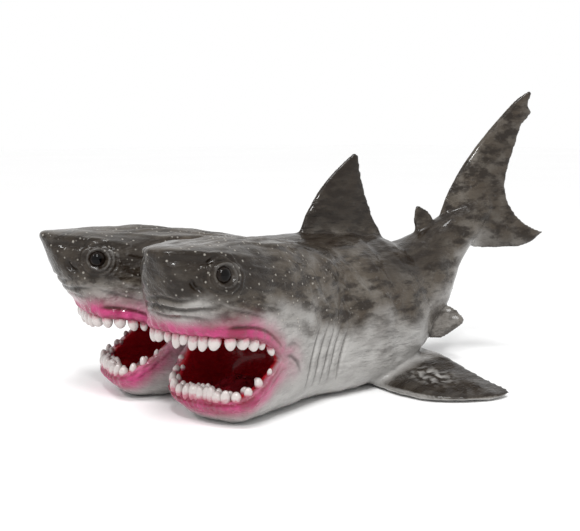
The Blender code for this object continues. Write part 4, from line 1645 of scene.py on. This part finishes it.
@dataclass(frozen=True)
class EyeFinish:
    """Glossy black with a dark brown ring."""

    name: str = "eye_gloss"
    black: tuple = linear(6, 5, 5)
    brown: tuple = linear(26, 19, 14)

    def material(self) -> bpy.types.Material:
        """The finish as a material."""
        s = Shader(self.name)
        rise = s.attribute("rise")
        ring = s.maths("MULTIPLY", s.span(rise, 0.35, 0.55), s.span(rise, 0.86, 0.78))
        cloudy = s.maths("MULTIPLY", ring, s.span(s.noise(0.0012, 4), 0.3, 0.6, 0.4, 1.0))
        s.link(s.mix(cloudy, self.black, self.brown), s.surface.inputs["Base Color"])
        s.roughen(s.noise(0.004), 0.02, 0.05)
        s.hold(Specular_IOR_Level=0.14)
        s.bumps((s.noise(0.003, 1), 0.10, 0.0002))
        return s.material


@dataclass(frozen=True)
class TongueFinish:
    """The mouth's dark red, with lighter red in cloudy patches as a painted highlight of the tongue."""

    name: str = "tongue_paint"
    low: tuple = linear(78, 10, 16)
    # The lighter red of the tongue's painted highlight.
    high: tuple = linear(150, 40, 52)

    def material(self) -> bpy.types.Material:
        """The finish as a material."""
        s = Shader(self.name)
        colour = s.mix(s.span(s.noise(0.006, 3), 0.35, 0.7), self.low, self.high)
        s.link(colour, s.surface.inputs["Base Color"])
        s.roughen(s.noise(0.004), 0.22, 0.36)
        s.hold(Coat_Weight=0.4)
        s.bumps((s.noise(0.0022, 3), 0.5, 0.0006))
        return s.material


def turn_angles(matrix: np.ndarray) -> tuple[float, float, float]:
    """The angles about x, y and z of a rotation matrix."""
    pitch = math.asin(max(-1.0, min(1.0, -matrix[2, 0])))
    return math.atan2(matrix[2, 1], matrix[2, 2]), pitch, math.atan2(matrix[1, 0], matrix[0, 0])


@dataclass(frozen=True)
class ToothRow:
    """One row of pegs set along a jaw."""

    name: str
    count: int
    upper: bool
    inset: float
    widest: float
    width: float
    length: float
    seed: int


TOOTH_ROWS = (
    ToothRow("upper_teeth", FULL_ROW, True, 3.0 * MM, 100.0, 6.9 * MM, 7.6 * MM, 1),
    ToothRow("lower_teeth", FULL_ROW, False, 3.0 * MM, 100.0, 6.0 * MM, 6.4 * MM, 2),
    ToothRow("inner_teeth", 12, False, 6.8 * MM, 92.0, 5.0 * MM, 5.0 * MM, 3),
)


class ToothSetter:
    """Sets one peg many times along a jaw, with Geometry Nodes."""

    sides = 14

    def __init__(self, material: bpy.types.Material) -> None:
        """Makes the peg and the node group that sets it.

        Args:
            material: The teeth's paint.
        """
        self.material = material
        self.peg = self.make_peg()
        self.group = self.make_group()

    def make_peg(self) -> bpy.types.Object:
        """A blunt peg, one unit wide and long, standing on its root at zero."""
        outline = ((-0.34, 0.30), (-0.30, 0.38), (-0.12, 0.44), (0.02, 0.47), (0.20, 0.5), (0.40, 0.5),
                   (0.58, 0.46), (0.74, 0.385), (0.86, 0.29), (0.94, 0.19), (0.985, 0.09))
        turns = 2 * math.pi * np.arange(self.sides) / self.sides
        rings = [
            np.stack([radius * np.cos(turns), 0.82 * radius * np.sin(turns) - 0.06 * max(rise, 0) ** 2,
                      rise + 0 * turns], axis=-1)
            for rise, radius in outline
        ]
        peg = MeshTools.loft("peg", np.array(rings))
        MeshTools.store(peg.data, "rise", MeshTools.places(peg.data)[:, 2])
        peg.data.shade_smooth()
        return peg

    def make_group(self) -> bpy.types.GeometryNodeTree:
        """The node group: a peg on every point, turned and sized as the point says."""
        group = bpy.data.node_groups.new("tooth_row", "GeometryNodeTree")
        face = group.interface
        face.new_socket("Geometry", in_out="INPUT", socket_type="NodeSocketGeometry")
        face.new_socket("Peg", in_out="INPUT", socket_type="NodeSocketObject")
        face.new_socket("Unevenness", in_out="INPUT", socket_type="NodeSocketFloat")
        face.new_socket("Lean", in_out="INPUT", socket_type="NodeSocketFloat")
        face.new_socket("Seed", in_out="INPUT", socket_type="NodeSocketInt")
        face.new_socket("Paint", in_out="INPUT", socket_type="NodeSocketMaterial")
        face.new_socket("Geometry", in_out="OUTPUT", socket_type="NodeSocketGeometry")
        nodes, links = group.nodes, group.links
        given, made = nodes.new("NodeGroupInput"), nodes.new("NodeGroupOutput")
        points = nodes.new("GeometryNodeMeshToPoints")
        peg = nodes.new("GeometryNodeObjectInfo")
        peg.inputs["As Instance"].default_value = True
        turn, size = (nodes.new("GeometryNodeInputNamedAttribute") for _ in range(2))
        for node, name in ((turn, "turn"), (size, "size")):
            node.data_type = "FLOAT_VECTOR"
            node.inputs["Name"].default_value = name
        low, high = (nodes.new("ShaderNodeMath") for _ in range(2))
        low.operation, high.operation = "SUBTRACT", "ADD"
        low.inputs[0].default_value = high.inputs[0].default_value = 1.0
        less = nodes.new("ShaderNodeMath")
        less.operation = "MULTIPLY"
        less.inputs[1].default_value = -1.0
        scale, lean = (nodes.new("FunctionNodeRandomValue") for _ in range(2))
        scale.data_type = lean.data_type = "FLOAT_VECTOR"
        sized, turned = nodes.new("ShaderNodeVectorMath"), nodes.new("ShaderNodeVectorMath")
        sized.operation, turned.operation = "MULTIPLY", "ADD"
        setter = nodes.new("GeometryNodeInstanceOnPoints")
        whole = nodes.new("GeometryNodeRealizeInstances")
        paint = nodes.new("GeometryNodeSetMaterial")
        for source, target in (
            (given.outputs["Geometry"], points.inputs["Mesh"]),
            (given.outputs["Peg"], peg.inputs["Object"]),
            (given.outputs["Unevenness"], low.inputs[1]),
            (given.outputs["Unevenness"], high.inputs[1]),
            (low.outputs[0], scale.inputs["Min"]),
            (high.outputs[0], scale.inputs["Max"]),
            (given.outputs["Lean"], less.inputs[0]),
            (less.outputs[0], lean.inputs["Min"]),
            (given.outputs["Lean"], lean.inputs["Max"]),
            (given.outputs["Seed"], scale.inputs["Seed"]),
            (given.outputs["Seed"], lean.inputs["Seed"]),
            (size.outputs["Attribute"], sized.inputs[0]),
            (scale.outputs["Value"], sized.inputs[1]),
            (turn.outputs["Attribute"], turned.inputs[0]),
            (lean.outputs["Value"], turned.inputs[1]),
            (points.outputs["Points"], setter.inputs["Points"]),
            (peg.outputs["Geometry"], setter.inputs["Instance"]),
            (turned.outputs["Vector"], setter.inputs["Rotation"]),
            (sized.outputs["Vector"], setter.inputs["Scale"]),
            (setter.outputs["Instances"], whole.inputs["Geometry"]),
            (whole.outputs["Geometry"], paint.inputs["Geometry"]),
            (given.outputs["Paint"], paint.inputs["Material"]),
            (paint.outputs["Geometry"], made.inputs["Geometry"]),
        ):
            links.new(source, target)
        return group

    def set_row(self, head: Head, row: ToothRow) -> bpy.types.Object:
        """One row in one mouth.

        Args:
            head: The head that it belongs to.
            row: The row's sizes.

        Returns:
            The row as a plain mesh, in the body's frame.
        """
        lip, sign = (head.upper_lip, -1.0) if row.upper else (head.lower_lip, 1.0)
        angles = np.radians(np.linspace(-row.widest, row.widest, row.count))
        arch = head.arch(angles, lip, row.inset)
        feet = head.to_body(arch[:, 0], arch[:, 1], arch[:, 2])
        factor = 1 - 0.45 * np.abs(angles / angles[-1]) ** 3
        mesh = bpy.data.meshes.new(row.name)
        mesh.from_pydata(feet.tolist(), [], [])
        turns, sizes = [], []
        for angle, share in zip(angles, factor):
            heading = math.atan2(math.sin(angle), -math.cos(angle)) + head.side * head.turn
            out = Vector((math.sin(heading) * 0.17, math.cos(heading) * 0.17, sign)).normalized()
            across = Vector((math.cos(heading), -math.sin(heading), 0))
            facing = out.cross(across).normalized()
            across = facing.cross(out)
            turns.append(turn_angles(np.array([across, facing, out]).T))
            sizes.append((row.width * share, row.width * share, row.length * share))
        MeshTools.store(mesh, "turn", np.array(turns))
        MeshTools.store(mesh, "size", np.array(sizes))
        obj = bpy.data.objects.new(f"{head.word}_{row.name}", mesh)
        bpy.context.scene.collection.objects.link(obj)
        modifier = obj.modifiers.new("row", "NODES")
        modifier.node_group = self.group
        given = {"Peg": self.peg, "Unevenness": 0.18, "Lean": 0.18, "Seed": row.seed, "Paint": self.material}
        for item in self.group.interface.items_tree:
            if item.in_out == "INPUT" and item.name in given:
                modifier[item.identifier] = given[item.name]
        MeshTools.settle(obj)
        log.info("%s: %d faces", obj.name, len(obj.data.polygons))
        return obj


@dataclass
class Eyes:
    """The two glossy eyeballs of each head."""

    radius: float = 5.0 * MM
    stand_out: float = 1.8 * MM
    segments: int = 40

    def build(self, head: Head) -> list[bpy.types.Object]:
        """Both eyes of one head, in the body's frame.

        Args:
            head: The head.

        Returns:
            The left and the right eye.
        """
        eyes = []
        for face in (1, -1):
            outward = float(head.reach(head.eye_back, head.eye_height)) + self.stand_out - self.radius
            centre = head.to_body(head.eye_back, face * outward, head.eye_height)
            aim = outward + 12 * MM
            ahead = head.to_body(head.eye_back - 4 * MM, face * aim, head.eye_height + 1.5 * MM)
            axis = (ahead - centre) / np.linalg.norm(ahead - centre)
            shape = bmesh.new()
            bmesh.ops.create_uvsphere(
                shape, u_segments=self.segments, v_segments=self.segments // 2, radius=self.radius
            )
            turn = Vector((0, 0, 1)).rotation_difference(Vector(axis)).to_matrix()
            bmesh.ops.rotate(shape, verts=shape.verts, matrix=turn)
            bmesh.ops.translate(shape, verts=shape.verts, vec=Vector(centre))
            name = f"{head.word}_head_{'left' if face > 0 else 'right'}_eye"
            eye = MeshTools.from_bmesh(name, shape)
            MeshTools.store(eye.data, "rise", (MeshTools.places(eye.data) - centre) @ axis / self.radius)
            eye.data.shade_smooth()
            log.info("%s: %d faces", name, len(eye.data.polygons))
            eyes.append(eye)
        return eyes


@dataclass
class Tongue:
    """The low swelling on each mouth's floor."""

    front: float = 48.0 * MM
    rear: float = 92.0 * MM
    half_width: float = 12.0 * MM
    height: float = 21.0 * MM
    floor: float = 8.0 * MM
    rings: int = 26
    points: int = 32

    def build(self, head: Head) -> bpy.types.Object:
        """One tongue, in the body's frame.

        Args:
            head: The head.

        Returns:
            The tongue.
        """
        turns = 2 * math.pi * np.arange(self.points) / self.points
        rings = []
        for share in 0.5 - 0.5 * np.cos(math.pi * np.linspace(0.04, 0.96, self.rings)):
            back = self.front + (self.rear - self.front) * share
            full = max(math.sin(math.pi * share), 0) ** 0.55
            groove = 1.6 * MM * np.exp(-((np.cos(turns) / 0.22) ** 2)) * (np.sin(turns) > 0)
            swell = (self.height - self.floor) * (0.5 + 0.5 * np.sin(turns))
            height = self.floor + full * (swell - groove)
            rings.append(head.to_body(back, self.half_width * full * np.cos(turns), height))
        tongue = MeshTools.loft(f"{head.word}_tongue", np.array(rings))
        tongue.data.shade_smooth()
        return tongue


class Figurine:
    """The whole figurine: builds every piece and moves it to the frame."""

    def build(self) -> None:
        """Builds, paints, places and declares every piece."""
        skin = Skin().build()
        skin.name = "moulded_skin"
        skin.data.materials.clear()
        skin.data.materials.append(SkinFinish().material())
        setter = ToothSetter(ToothFinish().material())
        eye_paint, tongue_paint = EyeFinish().material(), TongueFinish().material()
        pieces = [skin]
        for head in HEADS:
            pieces += [setter.set_row(head, row) for row in TOOTH_ROWS]
            tongue = Tongue().build(head)
            tongue.data.materials.append(tongue_paint)
            eyes = Eyes().build(head)
            for eye in eyes:
                eye.data.materials.append(eye_paint)
            pieces += [tongue, *eyes]
        bpy.data.objects.remove(setter.peg)
        self.place(pieces)
        for piece in pieces:
            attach(piece, BODY)
            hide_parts(NODE)

    @staticmethod
    def place(pieces: list[bpy.types.Object]) -> None:
        """Moves everything from the body's frame to the frame of the moulding.

        Args:
            pieces: Every piece, the skin first.
        """
        low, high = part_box(NODE)
        skin = MeshTools.places(pieces[0].data)
        own_low, own_high = skin.min(0), skin.max(0)
        log.info("own box %s to %s", own_low.round(4), own_high.round(4))
        shift = np.array([0.0, (low[1] + high[1]) / 2 - (own_low[1] + own_high[1]) / 2, 0.0])
        for piece in pieces:
            places = MeshTools.places(piece.data) + shift
            MeshTools.move(piece.data, places)


@dataclass
class Studio:
    """The floor, the lights, the pale surroundings and the camera."""

    lens: float = 63.06
    eye: tuple = (0.4726, -0.4161, 0.157)
    heading: tuple = (-0.766, 0.643)
    tilt: float = math.radians(7.8)

    def floor(self) -> None:
        """A wide pale floor."""
        shape = bmesh.new()
        bmesh.ops.create_grid(shape, x_segments=1, y_segments=1, size=6.0)
        floor = MeshTools.from_bmesh("floor", shape)
        s = Shader("pale_floor")
        shades = linear(250, 250, 250), linear(254, 254, 254)
        s.link(s.mix(s.noise(0.5), *shades), s.surface.inputs["Base Color"])
        s.hold(Roughness=0.9, Specular_IOR_Level=0.1)
        floor.data.materials.append(s.material)

    def surroundings(self) -> None:
        """White where the camera, gloss or glass looks, softer as a light."""
        world = bpy.data.worlds.new("pale")
        bpy.context.scene.world = world
        world.use_nodes = True
        nodes, links = world.node_tree.nodes, world.node_tree.links
        soft = nodes["Background"]
        soft.inputs["Color"].default_value = (1, 1, 1, 1)
        soft.inputs["Strength"].default_value = 0.62
        white = nodes.new("ShaderNodeBackground")
        white.inputs["Color"].default_value = (1, 1, 1, 1)
        white.inputs["Strength"].default_value = 1.0
        rays = nodes.new("ShaderNodeLightPath")
        either, any_ray = nodes.new("ShaderNodeMath"), nodes.new("ShaderNodeMath")
        either.operation = any_ray.operation = "MAXIMUM"
        links.new(rays.outputs["Is Camera Ray"], either.inputs[0])
        links.new(rays.outputs["Is Glossy Ray"], either.inputs[1])
        links.new(either.outputs[0], any_ray.inputs[0])
        links.new(rays.outputs["Is Transmission Ray"], any_ray.inputs[1])
        mixer = nodes.new("ShaderNodeMixShader")
        links.new(any_ray.outputs[0], mixer.inputs[0])
        links.new(soft.outputs[0], mixer.inputs[1])
        links.new(white.outputs[0], mixer.inputs[2])
        links.new(mixer.outputs[0], nodes["World Output"].inputs["Surface"])

    @staticmethod
    def aim(
        name: str, data: bpy.types.Light | bpy.types.Camera, place: Vector, look: Vector
    ) -> bpy.types.Object:
        """Stands a lamp or a camera somewhere and turns it.

        Args:
            name: The object's name.
            data: The lamp or the camera.
            place: Where it stands.
            look: The direction that it looks in.

        Returns:
            The new object.
        """
        obj = bpy.data.objects.new(name, data)
        obj.location = place
        obj.rotation_euler = look.to_track_quat("-Z", "Y").to_euler()
        bpy.context.scene.collection.objects.link(obj)
        return obj

    def lamps(self) -> None:
        """A broad even light from above, and two soft squares."""
        sun = bpy.data.lights.new("sky", "SUN")
        sun.angle, sun.energy = math.radians(16), 1.4
        above = Vector((0.42, -0.30, 1.0))
        self.aim("sky", sun, above, -above)
        for name, place, width, watts in (
            ("window", (0.62, -0.55, 0.75), 0.10, 3.4),
            ("lamp", (-0.15, -0.75, 0.70), 0.08, 1.6),
        ):
            area = bpy.data.lights.new(name, "AREA")
            area.size, area.energy = width, watts
            self.aim(name, area, Vector(place), Vector((0, 0, 60 * MM)) - Vector(place))

    def camera(self) -> None:
        """The photo's camera."""
        data = bpy.data.cameras.new("camera")
        data.lens = self.lens
        data.sensor_width = 36.0
        level = math.cos(self.tilt)
        look = Vector((self.heading[0] * level, self.heading[1] * level, -math.sin(self.tilt)))
        bpy.context.scene.camera = self.aim("camera", data, Vector(self.eye), look)

    def build(self) -> None:
        """Sets the whole studio."""
        self.floor()
        self.surroundings()
        self.lamps()
        self.camera()
        bpy.context.scene.view_settings.view_transform = "Standard"


def main() -> None:
    """Builds the figurine and the studio."""
    logging.basicConfig(level=logging.INFO, format="%(message)s")
    Figurine().build()
    Studio().build()


if __name__ == "__main__":
    main()
